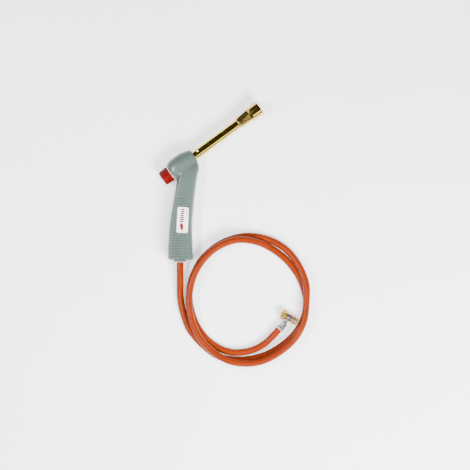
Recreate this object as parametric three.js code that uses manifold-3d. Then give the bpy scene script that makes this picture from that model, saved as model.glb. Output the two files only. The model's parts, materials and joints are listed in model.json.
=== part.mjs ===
// Hand-held gas torch for glass and solder work, with its hose, lying on its side.
// Millimetres. +X to the right, +Y up the grip, +Z up from the surface it lies on.
import * as THREE from 'three';
import { mergeVertices } from 'three/addons/utils/BufferGeometryUtils.js';
import Module from 'manifold-3d';

const wasm = await Module();
wasm.setup();

// ---------------------------------------------------------------- driving dimensions
const GAP = 0.3; // clearance wherever two pieces meet
const RUN_OUT = 1; // how far a cutter runs past the face it opens

// Handle
const HANDLE_THICKNESS = 30;
const WALL = 2.5;
const GRIP_LENGTH = 123.5; // below the level of the knob seat's lower lip
const FOOT_BEVEL = 2;
const BACK_CORNER = 5.5;
const FRONT_CORNER = 7.5;
const GAS_LINE_X = -50; // the hose, nipple and pipe share this line

// Head and burner axis: the knob seat's centre is the zero of every burner-axis station
const HEAD_X = -64.6;
const HEAD_Y = 13.3;
const BURNER_TILT = THREE.MathUtils.degToRad(36.3);
const HEAD_LENGTH = 46.4;
const HEAD_RADIUS = 17.6;
const HEAD_MOUTH_RADIUS = 11.3;

// Valve
const VALVE_WALL = 2; // brass left round the tube's socket
const SPINDLE_RADIUS = 3;
const VALVE_TRAVEL = 1.5; // how far the knob backs out when it is fully open

// Knob
const KNOB_RADIUS = 12.7;
const KNOB_LENGTH = 16;
const KNOB_FLUTES = 16;
const KNOB_FLUTE_DEPTH = 0.7;
const KNOB_WASHER = 0.6;

// Burner
const TUBE_RADIUS = 7.2;
const TUBE_WALL = 1;
const AIR_HOLE_RADIUS = 2;
const AIR_HOLE_REACH = 8.6; // ahead of the head's mouth
const AIR_HOLES = 3;
const AIR_HOLE_LEAN = THREE.MathUtils.degToRad(24); // of the top hole, away from the grip
const CUP_START = 133.4; // station of the cup's rear end
const CUP_OVERLAP = 12.6; // length of tube inside the cup
const CUP_LENGTH = 43.2;
const CUP_MOUTH_RADIUS = 11.4;
const CUP_WALL = 1.4;
const CUP_SLEEVE_WALL = 1.4; // from the tube's socket to the spanner flats
const CUP_HEX_TURN = THREE.MathUtils.degToRad(20);
const STABILISER_THICKNESS = 4;
const STABILISER_BORE = 2.6;
const PILOT_HOLES = 8;
const PILOT_RADIUS = 0.9;

// Shell screws, by the X and Y of their bosses: the lower pair holds the inlet nipple's hexagon
const LOW_SCREW_Y = 19.5 - GRIP_LENGTH;
const SCREW_PLACES = [[-61, LOW_SCREW_Y], [-38, LOW_SCREW_Y], [-37.5, -34], [-31, 11]];
const SCREW_RADIUS = 1.3;
const SCREW_HEAD_RADIUS = 2.8;
const SCREW_HEAD_HEIGHT = 2;
const SCREW_CLEARANCE = 0.4; // round the head
const BOSS_WALL = 1.2; // round the hole that the head drops into

// Label and ribs on the grip's flanks
const LABEL_WIDTH = 18;
const LABEL_HEIGHT = 41;
const LABEL_THICKNESS = 0.8;
const LABEL_CORNER = 2.4;
const LABEL_X = -45.6;
const LABEL_Y = -61.9;
const LABEL_LEAN = THREE.MathUtils.degToRad(-2.5);
const RIB_PITCH = 4.2;
const RIB_GROOVE = 1.4;
const RIB_DEPTH = 0.6;
const RIB_COUNT = 23;
const RIB_FOOT = 4; // height of the first groove above the foot

// Hose and what holds it
const HOSE_RADIUS = 5.5;
const HOSE_BORE = 3.15;
const HOSE_SIDES = 8;
const HOSE_STEPS = 66;
const GLAND_WALL = 2.2;
const GLAND_FLANGE = 2.4; // how far the flange stands out from the neck
const GLAND_REACH = 3; // how far the gland stands out below the foot
const PIPE_RADIUS = 3;
const PIPE_WALL = 0.8;
const GAS_WAY = 1.5; // radius of the bore through the nipple and the hose tail

// Hose-end fitting: a banjo with a captive union nut
const FITTING = new THREE.Vector3(125, -218.4, 8.6);
const FITTING_TURN = THREE.MathUtils.degToRad(-30);
const TAIL_TURN = THREE.MathUtils.degToRad(-102); // from the bolt's direction to the hose's
const FERRULE_START = 10.5;
const FERRULE_LENGTH = 13.5;
const FERRULE_WALL = 1; // outside the hose's own radius
const NUT_WALL = 1.2; // at the middle of a flat
const NUT_LENGTH = 9.3;
const BOLT_HEAD_RADIUS = 5.9;
const BOLT_SHANK_RADIUS = 3;
const BANJO_HALF_WIDTH = 2.6;
const BANJO_WALL = 3.1; // round the bolt's hole
const WASHER_THICKNESS = 0.8;

// Centreline of the hose, from the gland to the fitting, in the part's frame
const HOSE_ROUTE = [
  [-50, -129.1, 15], [-50, -139, 14.9], [-50, -152, 12.6], [-50, -166, 9],
  [-50, -181, 6.5],
  [-48, -198, 5.7], [-44, -214, 5.6], [-35, -237, 5.6], [-12, -264, 5.6],
  [15, -282, 5.6], [50, -286, 5.6], [84, -279, 5.6], [113, -263, 5.6],
  [136, -241, 5.6], [149, -216, 5.6], [152, -189, 5.6], [143, -158, 5.7],
  [124, -130, 6], [100, -110, 8.5], [73, -97, 14.5], [39, -94, 16.5],
  [3, -110, 17], [-24, -142, 17], [-35, -180, 17], [-33, -215, 17],
  [-20, -248, 16], [1, -271, 17], [25, -286, 17], [52, -291.5, 16.2],
  [82, -287.5, 14.8], [111, -272, 15.5], [134, -251, 16.3], [148, -224, 17],
  [152, -194, 17.1], [152, -166, 16.2], [142, -138, 13.5], [122, -111, 8],
  [91, -93, 5.8], [51, -88, 5.6], [9, -103, 5.6], [-22, -135, 5.6],
  [-35, -176, 5.6], [-30, -214, 5.6], [-15, -244, 5.6], [7, -264, 5.6],
  [34, -274, 5.6], [66, -270, 5.7], [84.5, -260.5, 6.4], [98, -248.3, 8.3],
  [108.4, -236.8, 8.6],
];

const HALF = HANDLE_THICKNESS / 2;

// ---------------------------------------------------------------- materials
function finish(color, roughness, metalness) {
  return new THREE.MeshStandardMaterial({ color, roughness, metalness });
}
const GREY_PLASTIC = finish(0x8a9d96, 0.5, 0);
const RED_PLASTIC = finish(0xd11816, 0.35, 0);
const WHITE_PLASTIC = finish(0xf2f2ef, 0.4, 0);
const BRASS = finish(0xb59a3c, 0.25, 1);
const STEEL = finish(0xb9c0bf, 0.3, 1);
const HOSE_RUBBER = finish(0xc85a32, 0.55, 0);
const BLACK_RUBBER = finish(0x2a2a2a, 0.8, 0);
const COPPER = finish(0xb87349, 0.35, 1);

// ---------------------------------------------------------------- geometry helpers

// Merged positions only, no empty triangles, faces pointing out.
function cleaned(geometry) {
  const bare = geometry.clone();
  bare.deleteAttribute('normal');
  bare.deleteAttribute('uv');
  const welded = mergeVertices(bare, 1e-4);
  const place = welded.attributes.position;
  const source = welded.index.array;
  const kept = [];
  let volume = 0;
  const [a, b, c] = [new THREE.Vector3(), new THREE.Vector3(), new THREE.Vector3()];
  for (let i = 0; i < source.length; i += 3) {
    const [p, q, r] = [source[i], source[i + 1], source[i + 2]];
    if (p === q || q === r || r === p) continue;
    kept.push(p, q, r);
    a.fromBufferAttribute(place, p);
    b.fromBufferAttribute(place, q);
    c.fromBufferAttribute(place, r);
    volume += a.dot(b.cross(c));
  }
  if (volume < 0) kept.reverse();
  welded.setIndex(kept);
  return welded;
}

function toSolid(geometry) {
  const clean = cleaned(geometry);
  return new wasm.Manifold(new wasm.Mesh({
    numProp: 3,
    vertProperties: new Float32Array(clean.attributes.position.array),
    triVerts: new Uint32Array(clean.index.array),
  }));
}

function toGeometry(solid) {
  const mesh = solid.getMesh();
  const geometry = new THREE.BufferGeometry();
  geometry.setAttribute('position', new THREE.BufferAttribute(mesh.vertProperties, 3));
  geometry.setIndex(new THREE.BufferAttribute(mesh.triVerts, 1));
  return geometry;
}

function joined(first, ...others) {
  return toGeometry(others.reduce((sum, one) => sum.add(toSolid(one)), toSolid(first)));
}

function cut(first, ...others) {
  return toGeometry(others.reduce((rest, one) => rest.subtract(toSolid(one)), toSolid(first)));
}

function common(first, second) {
  return toGeometry(toSolid(first).intersect(toSolid(second)));
}

// A turned piece about +X, from [radius, station] pairs.
function turned(profile, segments = 24) {
  const points = profile.map(([radius, station]) => new THREE.Vector2(radius, station));
  return new THREE.LatheGeometry(points, segments).rotateZ(-Math.PI / 2);
}

// A turned ring or tube about +X: the profile closes on itself.
function turnedRing(profile, segments = 24) {
  return turned([...profile, profile[0]], segments);
}

function rod(radius, from, to, segments = 16) {
  return turned([[0, from], [radius, from], [radius, to], [0, to]], segments);
}

// A hexagonal bar about +X with flats facing +-Z.
function hexBar(acrossFlats, from, to) {
  const corner = acrossFlats / Math.sqrt(3);
  return turned([[0, from], [corner, from], [corner, to], [0, to]], 6).rotateX(Math.PI / 6);
}

// Turns a piece made about +X so that it points along +Y or +Z.
function alongY(geometry) {
  return geometry.rotateZ(Math.PI / 2);
}
function alongZ(geometry) {
  return geometry.rotateY(-Math.PI / 2);
}

// A closed skin through rings that all have the same number of points.
function loft(rings) {
  const count = rings[0].length;
  const positions = [];
  const triangles = [];
  rings.forEach((ring) => ring.forEach((point) => positions.push(...point.toArray())));
  for (let row = 0; row + 1 < rings.length; row += 1) {
    for (let i = 0; i < count; i += 1) {
      const a = row * count + i;
      const b = row * count + ((i + 1) % count);
      triangles.push(a, b, a + count, b, b + count, a + count);
    }
  }
  for (const row of [0, rings.length - 1]) {
    const centre = rings[row].reduce((sum, p) => sum.add(p), new THREE.Vector3());
    positions.push(...centre.divideScalar(count).toArray());
    const middle = positions.length / 3 - 1;
    for (let i = 0; i < count; i += 1) {
      const a = row * count + i;
      const b = row * count + ((i + 1) % count);
      triangles.push(...(row === 0 ? [b, a, middle] : [a, b, middle]));
    }
  }
  const geometry = new THREE.BufferGeometry();
  geometry.setAttribute('position', new THREE.Float32BufferAttribute(positions, 3));
  geometry.setIndex(triangles);
  return geometry;
}

function addPart(group, name, geometry, material) {
  const clean = cleaned(geometry);
  clean.computeVertexNormals();
  const mesh = new THREE.Mesh(clean, material);
  mesh.name = name;
  group.add(mesh);
  return mesh;
}

// ---------------------------------------------------------------- handle

// Grip sections from the foot up: Y, back edge, front edge, half thickness.
const GRIP_ROWS = [
  [-GRIP_LENGTH, -69.3, -29, HALF],
  [-GRIP_LENGTH * 0.8, -68.8, -30, HALF],
  [-GRIP_LENGTH * 0.53, -66.1, -30.2, HALF],
  [-GRIP_LENGTH * 0.27, -60.9, -27.4, HALF],
  [-GRIP_LENGTH * 0.06, -56.6, -24.4, HALF],
  [8, -53.6, -22, HALF - 0.3],
  [20, -50, -19.2, HALF - 1.8],
  [27, -46, -19.8, HALF - 4.5],
  [31, -42, -23.5, HALF - 8],
];
const GRIP_STEPS = 14;
const CORNER_STEPS = 4;

// The grip's section at a share of the way up: { y, back, front, half }.
function gripRow(share) {
  const edges = GRIP_ROWS.map(([y, back, front]) => new THREE.Vector3(y, back, front));
  const halves = GRIP_ROWS.map(([y, , , half]) => new THREE.Vector3(y, half, 0));
  const edge = new THREE.CatmullRomCurve3(edges, false, 'catmullrom').getPoint(share);
  const half = new THREE.CatmullRomCurve3(halves, false, 'catmullrom').getPoint(share);
  return { y: edge.x, back: edge.y, front: edge.z, half: Math.min(half.y, HALF) };
}

// The grip's section at a height.
function gripRowAt(y) {
  let [low, high] = [0, 1];
  for (let i = 0; i < 30; i += 1) {
    const middle = (low + high) / 2;
    if (gripRow(middle).y < y) low = middle;
    else high = middle;
  }
  return gripRow(low);
}

// One section as a ring of points: flat flanks, round corners, drawn in by inset.
function gripRing(row, inset) {
  const ring = [];
  const half = row.half - inset;
  const corners = [
    [row.front - inset, 1, 1, FRONT_CORNER, 0.75],
    [row.back + inset, -1, 1, BACK_CORNER, 0.6],
    [row.back + inset, -1, -1, BACK_CORNER, 0.6],
    [row.front - inset, 1, -1, FRONT_CORNER, 0.75],
  ];
  corners.forEach(([edge, side, up, corner, share], quarter) => {
    const across = Math.max(corner - inset, 1);
    const deep = half * share;
    for (let i = 0; i <= CORNER_STEPS; i += 1) {
      const angle = (quarter + i / CORNER_STEPS) * Math.PI / 2;
      const x = edge - side * across + across * Math.cos(angle);
      const z = up * (half - deep) + deep * Math.sin(angle);
      ring.push(new THREE.Vector3(x, row.y, z));
    }
  });
  return ring;
}

function gripSkin() {
  const foot = gripRow(0);
  const rings = [gripRing({ ...foot, y: foot.y - FOOT_BEVEL }, FOOT_BEVEL * 1.6)];
  for (let i = 0; i <= GRIP_STEPS; i += 1) rings.push(gripRing(gripRow(i / GRIP_STEPS), 0));
  return loft(rings);
}

function gripHollow() {
  const rings = [];
  const [low, high] = [-GRIP_LENGTH - FOOT_BEVEL + WALL, 6];
  for (let i = 0; i <= GRIP_STEPS; i += 1) {
    const y = THREE.MathUtils.lerp(low, high, i / GRIP_STEPS);
    rings.push(gripRing({ ...gripRowAt(y), y }, WALL));
  }
  return loft(rings);
}

// Pieces on the burner axis that fit in each other
const TUBE_SOCKET = TUBE_RADIUS + GAP;
const VALVE_RADIUS = TUBE_SOCKET + VALVE_WALL;
const POCKET_RADIUS = VALVE_RADIUS + 0.4;
const CHAMBER_RADIUS = SPINDLE_RADIUS + 1.3;
const SEAL_BORE = SPINDLE_RADIUS + 2.3;
const JET_SOCKET = 3.3;
const CUP_ACROSS_FLATS = 2 * (TUBE_SOCKET + CUP_SLEEVE_WALL);

// Stations along the burner axis, from the knob seat forward
const POCKET_START = WALL;
const NUT_START = POCKET_START + 0.5;
const BODY_REAR = NUT_START + 3 + GAP;
const SPIGOT_END = BODY_REAR + 0.7;
const SEAL_SECTION = 0.8;
const SEAL_STATION = SPIGOT_END + GAP + SEAL_SECTION + VALVE_TRAVEL;
const COLLAR_START = SEAL_STATION + SEAL_SECTION + 0.8;
const COLLAR_END = COLLAR_START + 4.8;
const SEAL_STEP = COLLAR_START + GAP; // where the seal's bore steps down to the collar's
const CHAMBER_END = COLLAR_END + 4.5;
const VALVE_SEAT = CHAMBER_END + 3;
const JET_SEAT = VALVE_SEAT + 1.8;
const SOCKET_FLOOR = JET_SEAT + 5.2;
const POCKET_END = HEAD_LENGTH - 5;
const BODY_FRONT = POCKET_END - 0.4;

// The inlet boss hangs from the valve body to meet the pipe
const INLET_STATION = (GAS_LINE_X - HEAD_X) / Math.cos(BURNER_TILT);
const INLET_AXIS_Y = HEAD_Y + INLET_STATION * Math.sin(BURNER_TILT);
const INLET_MOUTH_Y = 6;
const INLET_RADIUS = PIPE_RADIUS + 1.2;
const INLET_SOCKET_DEPTH = 5.3;

// The hose's way into the foot
const FOOT_Y = -GRIP_LENGTH - FOOT_BEVEL;
const GLAND_MOUTH_Y = FOOT_Y - GLAND_REACH;
const GLAND_NECK = HOSE_RADIUS + GAP + GLAND_WALL;
const GLAND_RADIUS = GLAND_NECK + GLAND_FLANGE;

// Moves a piece made about the burner axis to where that axis lies.
function ontoBurnerAxis(geometry) {
  return geometry.rotateZ(BURNER_TILT).translate(HEAD_X, HEAD_Y, 0);
}

// The head's outline, as shares of its radius and of its length.
const HEAD_OUTLINE = [
  [0.73, 0], [0.87, 0.075], [0.94, 0.15], [0.985, 0.237], [1, 0.366], [1, 0.474],
  [0.97, 0.603], [0.9, 0.744], [0.78, 0.884],
];

function headSkin() {
  const sides = HEAD_OUTLINE.map(([wide, along]) => [HEAD_RADIUS * wide, HEAD_LENGTH * along]);
  const profile = [[0, 0], ...sides, [HEAD_MOUTH_RADIUS, HEAD_LENGTH], [0, HEAD_LENGTH]];
  const skin = turned(profile, 32).scale(1, 1, HALF / HEAD_RADIUS);
  return ontoBurnerAxis(skin);
}

function verticalBore(radius, from, to) {
  return alongY(rod(radius, from, to)).translate(GAS_LINE_X, 0, 0);
}

function hollows() {
  const pocket = turned([
    [0, POCKET_START], [POCKET_RADIUS, POCKET_START], [POCKET_RADIUS, POCKET_END],
    [0, POCKET_END],
  ]);
  return [
    gripHollow(),
    ontoBurnerAxis(pocket),
    ontoBurnerAxis(rod(TUBE_SOCKET, POCKET_END - RUN_OUT, HEAD_LENGTH + RUN_OUT, 24)),
    ontoBurnerAxis(rod(SPINDLE_RADIUS + 0.5, -RUN_OUT, POCKET_START + RUN_OUT)),
    verticalBore(PIPE_RADIUS + 0.4, -20, INLET_MOUTH_Y),
    verticalBore(INLET_RADIUS + 0.4, INLET_MOUTH_Y - GAP, INLET_AXIS_Y),
    verticalBore(GLAND_NECK + GAP, FOOT_Y - RUN_OUT, FOOT_Y + WALL + RUN_OUT),
  ];
}

function screwBosses(outer) {
  const radius = SCREW_HEAD_RADIUS + SCREW_CLEARANCE + BOSS_WALL;
  return SCREW_PLACES.map(([x, y]) => {
    const boss = alongZ(rod(radius, -HALF, HALF, 12)).translate(x, y, 0);
    return common(boss, outer);
  });
}

// Stations of a shell screw along +Z, measured from the parting plane.
const SCREW_BEARING = 9 - HALF; // 9 up from the flank: the head bears here
const SCREW_TIP = HALF - 7.5; // 7.5 short of the other flank

function screwHoles() {
  const wide = SCREW_HEAD_RADIUS + SCREW_CLEARANCE;
  return SCREW_PLACES.flatMap(([x, y]) => [
    alongZ(rod(wide, -HALF - RUN_OUT, SCREW_BEARING, 12)).translate(x, y, 0),
    alongZ(rod(SCREW_RADIUS + GAP, -HALF, SCREW_TIP + RUN_OUT, 10)).translate(x, y, 0),
  ]);
}

function labelPocket() {
  const depth = LABEL_THICKNESS + GAP;
  return roundedPlate(LABEL_WIDTH + 2 * GAP, LABEL_HEIGHT + 2 * GAP, LABEL_CORNER, depth + RUN_OUT)
    .rotateZ(LABEL_LEAN)
    .translate(LABEL_X, LABEL_Y, HALF - depth);
}

function roundedPlate(width, height, corner, depth) {
  const shape = new THREE.Shape();
  const [w, h] = [width / 2, height / 2];
  shape.moveTo(w - corner, -h);
  shape.absarc(w - corner, -h + corner, corner, -Math.PI / 2, 0);
  shape.absarc(w - corner, h - corner, corner, 0, Math.PI / 2);
  shape.absarc(-w + corner, h - corner, corner, Math.PI / 2, Math.PI);
  shape.absarc(-w + corner, -h + corner, corner, Math.PI, Math.PI * 1.5);
  return new THREE.ExtrudeGeometry(shape, { depth, bevelEnabled: false, curveSegments: 4 });
}

// Grooves across one flank: side is +1 for the upper flank and -1 for the lower one.
function ribGrooves(side) {
  const grooves = [];
  for (let i = 0; i < RIB_COUNT; i += 1) {
    const y = -GRIP_LENGTH + RIB_FOOT + i * RIB_PITCH;
    const plain = Math.abs(y - LABEL_Y) < LABEL_HEIGHT / 2;
    if (side < 0 && plain) continue;
    const row = gripRowAt(y);
    const [left, right] = [row.back + BACK_CORNER + 0.8, row.front - FRONT_CORNER - 1];
    const groove = new THREE.BoxGeometry(right - left, RIB_GROOVE, RIB_DEPTH * 2);
    grooves.push(groove.translate((left + right) / 2, y, side * HALF));
  }
  return grooves;
}

// One half of the handle: side is +1 for the upper half and -1 for the lower one.
function handleShell(side) {
  const outer = joined(gripSkin(), headSkin());
  const hollow = cut(outer, ...hollows());
  const bossed = joined(hollow, ...screwBosses(outer));
  const extra = side > 0 ? [labelPocket()] : [];
  const pierced = cut(bossed, ...screwHoles(), ...ribGrooves(side), ...extra);
  const space = new THREE.BoxGeometry(400, 400, 100);
  space.translate(0, 0, side * (50 + GAP / 2));
  return common(pierced, space);
}

function shellScrew() {
  const top = SCREW_BEARING - GAP;
  const head = top - SCREW_HEAD_HEIGHT;
  const body = turned([
    [0, head], [SCREW_HEAD_RADIUS * 0.8, head], [SCREW_HEAD_RADIUS, head + 0.7],
    [SCREW_HEAD_RADIUS, top], [SCREW_RADIUS, top], [SCREW_RADIUS, SCREW_TIP - 1],
    [0.3, SCREW_TIP], [0, SCREW_TIP],
  ], 10);
  const slot = new THREE.BoxGeometry(2.4, 2.8, 0.7).translate(head, 0, 0);
  const cross = slot.clone().rotateX(Math.PI / 2);
  return alongZ(cut(body, slot, cross));
}

function addHandle(group) {
  addPart(group, 'handle_shell_lower', handleShell(-1), GREY_PLASTIC);
  addPart(group, 'handle_shell_upper', handleShell(1), GREY_PLASTIC);
  SCREW_PLACES.forEach(([x, y], i) => {
    addPart(group, `shell_screw_${i + 1}`, shellScrew(), STEEL).position.set(x, y, 0);
  });
  const label = roundedPlate(LABEL_WIDTH, LABEL_HEIGHT, LABEL_CORNER, LABEL_THICKNESS);
  const plate = addPart(group, 'label_plate', label, WHITE_PLASTIC);
  plate.position.set(LABEL_X, LABEL_Y, HALF - LABEL_THICKNESS);
  plate.rotation.z = LABEL_LEAN;
}

// ---------------------------------------------------------------- gas line in the grip

const STUB_LENGTH = 26;
const STUB_TOP = GLAND_MOUTH_Y + STUB_LENGTH;
const NIPPLE_FLANGE = STUB_TOP + GAP;
const NIPPLE_REACH = 11; // above its flange
const NIPPLE_ACROSS_FLATS = 12;
const NIPPLE_TOP = NIPPLE_FLANGE + NIPPLE_REACH;
const PIPE_OVERLAP = 5; // length of pipe inside the nipple
const PIPE_FOOT = NIPPLE_TOP - PIPE_OVERLAP;
const PIPE_TOP = INLET_MOUTH_Y + INLET_SOCKET_DEPTH - GAP;
const BARB_LENGTH = 16;
const CRIMP_LENGTH = 7;

function hoseGland() {
  const inner = HOSE_RADIUS + GAP;
  const seat = FOOT_Y - GAP;
  const ledge = FOOT_Y + WALL + GAP;
  return alongY(turnedRing([
    [inner, GLAND_MOUTH_Y], [GLAND_RADIUS * 0.86, GLAND_MOUTH_Y],
    [GLAND_RADIUS, GLAND_MOUTH_Y + 1.4], [GLAND_RADIUS, seat], [GLAND_NECK, seat],
    [GLAND_NECK, ledge], [GLAND_NECK + 1.5, ledge], [GLAND_NECK + 0.5, ledge + 3],
    [inner, ledge + 3],
  ]));
}

function innerHoseStub() {
  return alongY(turnedRing([
    [HOSE_BORE, GLAND_MOUTH_Y], [HOSE_RADIUS, GLAND_MOUTH_Y],
    [HOSE_RADIUS, STUB_TOP], [HOSE_BORE, STUB_TOP],
  ], 16));
}

function crimpRing() {
  const [inner, outer] = [HOSE_RADIUS + GAP, HOSE_RADIUS + GAP + 0.8];
  const high = STUB_TOP - 6;
  const low = high - CRIMP_LENGTH;
  return alongY(turnedRing([[inner, low], [outer, low], [outer, high], [inner, high]], 20));
}

function inletNipple() {
  const barb = HOSE_BORE - GAP;
  const low = STUB_TOP - BARB_LENGTH;
  const body = turned([
    [0, low], [barb - 0.7, low], [barb, low + 2.5], [barb - 0.5, low + 2.6],
    [barb, low + 6], [barb - 0.5, low + 6.1], [barb, low + 9.5], [barb - 0.5, low + 9.6],
    [barb - 0.5, NIPPLE_FLANGE], [0, NIPPLE_FLANGE],
  ], 14);
  const hex = hexBar(NIPPLE_ACROSS_FLATS, NIPPLE_FLANGE, NIPPLE_FLANGE + 5);
  const collar = rod(INLET_RADIUS, NIPPLE_FLANGE + 4, NIPPLE_TOP);
  const way = rod(GAS_WAY, low - RUN_OUT, NIPPLE_TOP + RUN_OUT, 10);
  const socket = rod(PIPE_RADIUS + GAP, PIPE_FOOT - GAP, NIPPLE_TOP + RUN_OUT);
  return alongY(cut(joined(body, hex, collar), way, socket));
}

function gasPipe() {
  const inner = PIPE_RADIUS - PIPE_WALL;
  return alongY(turnedRing([
    [inner, PIPE_FOOT], [PIPE_RADIUS, PIPE_FOOT], [PIPE_RADIUS, PIPE_TOP], [inner, PIPE_TOP],
  ], 14));
}

function addGasLine(group) {
  const line = new THREE.Group();
  line.position.x = GAS_LINE_X;
  group.add(line);
  addPart(line, 'hose_gland', hoseGland(), GREY_PLASTIC);
  addPart(line, 'inner_hose_stub', innerHoseStub(), HOSE_RUBBER);
  addPart(line, 'crimp_ring', crimpRing(), STEEL);
  addPart(line, 'inlet_nipple', inletNipple(), BRASS);
  addPart(line, 'gas_pipe', gasPipe(), COPPER);
}

// ---------------------------------------------------------------- valve and burner

function valveBody() {
  const [outer, neck, middle] = [VALVE_RADIUS, VALVE_RADIUS - 1.9, VALVE_RADIUS - 0.9];
  const body = turned([
    [0, BODY_REAR], [neck - 0.4, BODY_REAR], [neck, BODY_REAR + 0.6], [neck, SEAL_STEP],
    [middle, SEAL_STEP + 0.8], [middle, SOCKET_FLOOR - 1.5], [outer, SOCKET_FLOOR - 0.5],
    [outer, BODY_FRONT - 0.5], [outer - 0.5, BODY_FRONT], [0, BODY_FRONT],
  ]);
  const bore = turned([
    [0, BODY_REAR - RUN_OUT], [SEAL_BORE, BODY_REAR - RUN_OUT], [SEAL_BORE, SEAL_STEP],
    [CHAMBER_RADIUS, SEAL_STEP], [CHAMBER_RADIUS, CHAMBER_END], [1, VALVE_SEAT],
    [1, JET_SEAT], [JET_SOCKET, JET_SEAT], [JET_SOCKET, SOCKET_FLOOR],
    [TUBE_SOCKET, SOCKET_FLOOR], [TUBE_SOCKET, BODY_FRONT + RUN_OUT],
    [0, BODY_FRONT + RUN_OUT],
  ]);
  const reach = INLET_AXIS_Y - INLET_MOUTH_Y;
  const down = (piece) => piece.rotateZ(-Math.PI / 2 - BURNER_TILT).translate(INLET_STATION, 0, 0);
  const boss = down(rod(INLET_RADIUS, 0, reach));
  const pipeSocket = down(
    rod(PIPE_RADIUS + GAP, reach - INLET_SOCKET_DEPTH, reach + RUN_OUT),
  );
  const gasWay = down(rod(1.8, 0, reach, 10));
  return cut(joined(body, boss), bore, pipeSocket, gasWay);
}

function glandNut() {
  const flange = hexBar(2 * SEAL_BORE + 0.4, NUT_START, BODY_REAR - GAP);
  const spigot = rod(SEAL_BORE - GAP, BODY_REAR - 0.5, SPIGOT_END);
  const bore = rod(SPINDLE_RADIUS + GAP, NUT_START - RUN_OUT, SPIGOT_END + RUN_OUT);
  return cut(joined(flange, spigot), bore);
}

function spindleSeal() {
  const ring = new THREE.TorusGeometry(SPINDLE_RADIUS + 1.25, SEAL_SECTION, 6, 18);
  return ring.rotateY(Math.PI / 2).translate(SEAL_STATION, 0, 0);
}

const KNOB_BASE = -KNOB_WASHER - 2 * GAP;
const KNOB_FACE = KNOB_BASE - KNOB_LENGTH;
const SPINDLE_REAR = KNOB_FACE + 3.6;

function valveSpindle() {
  const collar = CHAMBER_RADIUS - GAP;
  return turned([
    [0, SPINDLE_REAR], [SPINDLE_RADIUS - 0.4, SPINDLE_REAR],
    [SPINDLE_RADIUS, SPINDLE_REAR + 0.5], [SPINDLE_RADIUS, COLLAR_START - 0.2],
    [collar, COLLAR_START], [collar, COLLAR_END], [SPINDLE_RADIUS - 0.6, COLLAR_END + 0.4],
    [SPINDLE_RADIUS - 0.6, CHAMBER_END], [0.5, VALVE_SEAT - GAP], [0, VALVE_SEAT - GAP],
  ], 16);
}

function fluteRing(station, radius, depth) {
  const ring = [];
  const count = KNOB_FLUTES * 4;
  for (let i = 0; i < count; i += 1) {
    const angle = i / count * Math.PI * 2;
    const reach = radius - depth * (0.5 - 0.5 * Math.cos(angle * KNOB_FLUTES));
    ring.push(new THREE.Vector3(station, reach * Math.cos(angle), reach * Math.sin(angle)));
  }
  return ring;
}

function valveKnob() {
  const skin = loft([
    fluteRing(KNOB_BASE, KNOB_RADIUS, KNOB_FLUTE_DEPTH),
    fluteRing(KNOB_FACE + 2.4, KNOB_RADIUS - 0.9, KNOB_FLUTE_DEPTH),
    fluteRing(KNOB_FACE + 0.7, KNOB_RADIUS - 1.9, KNOB_FLUTE_DEPTH / 2),
    fluteRing(KNOB_FACE, KNOB_RADIUS - 4.4, 0),
  ]);
  const hub = SPINDLE_RADIUS + 1.9;
  const floor = KNOB_FACE + 3;
  const moat = turnedRing([
    [hub, floor], [KNOB_RADIUS - 3, floor], [KNOB_RADIUS - 2.2, KNOB_BASE + RUN_OUT],
    [hub, KNOB_BASE + RUN_OUT],
  ]);
  return cut(skin, moat, rod(SPINDLE_RADIUS + GAP, SPINDLE_REAR - GAP, KNOB_BASE + RUN_OUT));
}

function knobWasher() {
  const [inner, outer] = [SPINDLE_RADIUS + 0.6, KNOB_RADIUS - 0.5];
  return turnedRing([
    [inner, -GAP - KNOB_WASHER], [outer, -GAP - KNOB_WASHER], [outer, -GAP], [inner, -GAP],
  ]);
}

const JET_REAR = JET_SEAT + 1.7;
const JET_TIP = JET_REAR + 22;

function jetFilter() {
  return rod(JET_SOCKET - 0.5, JET_SEAT + GAP, JET_REAR - GAP, 12);
}

function gasJet() {
  const thread = JET_SOCKET - GAP;
  const base = turned([
    [0, JET_REAR], [thread, JET_REAR], [thread, SOCKET_FLOOR + 0.7],
    [2.6, SOCKET_FLOOR + 0.7], [2.6, JET_TIP - 4], [1.5, JET_TIP], [0, JET_TIP],
  ], 14);
  const hex = hexBar(8, SOCKET_FLOOR + 0.5, SOCKET_FLOOR + 4);
  const way = turned([
    [0, JET_REAR - RUN_OUT], [1.2, JET_REAR - RUN_OUT], [1.2, JET_TIP - 3],
    [0.4, JET_TIP - 1.8], [0.4, JET_TIP + RUN_OUT], [0, JET_TIP + RUN_OUT],
  ], 8);
  return cut(joined(base, hex), way);
}

const TUBE_END = CUP_START + CUP_OVERLAP;

function burnerTube() {
  const inner = TUBE_RADIUS - TUBE_WALL;
  const tube = turnedRing([
    [inner, SOCKET_FLOOR + GAP], [TUBE_RADIUS, SOCKET_FLOOR + GAP],
    [TUBE_RADIUS, TUBE_END], [inner, TUBE_END],
  ], 28);
  const station = HEAD_LENGTH + AIR_HOLE_REACH;
  const holes = [];
  for (let i = 0; i < AIR_HOLES; i += 1) {
    const hole = alongZ(rod(AIR_HOLE_RADIUS, inner / 2, TUBE_RADIUS * 2, 12));
    hole.rotateX(i / AIR_HOLES * Math.PI * 2 - AIR_HOLE_LEAN);
    holes.push(hole.translate(station, 0, 0));
  }
  return cut(tube, ...holes);
}

const CUP_END = CUP_START + CUP_LENGTH;
const CUP_SHOULDER = TUBE_END + GAP;
const CUP_FLOOR = CUP_SHOULDER + 1.6;
const CUP_BORE = CUP_MOUTH_RADIUS - CUP_WALL;
const CUP_THROAT = CUP_BORE - 1.2; // the chamber's radius round the stabiliser
const CUP_HEX_END = CUP_FLOOR + 8;

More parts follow.
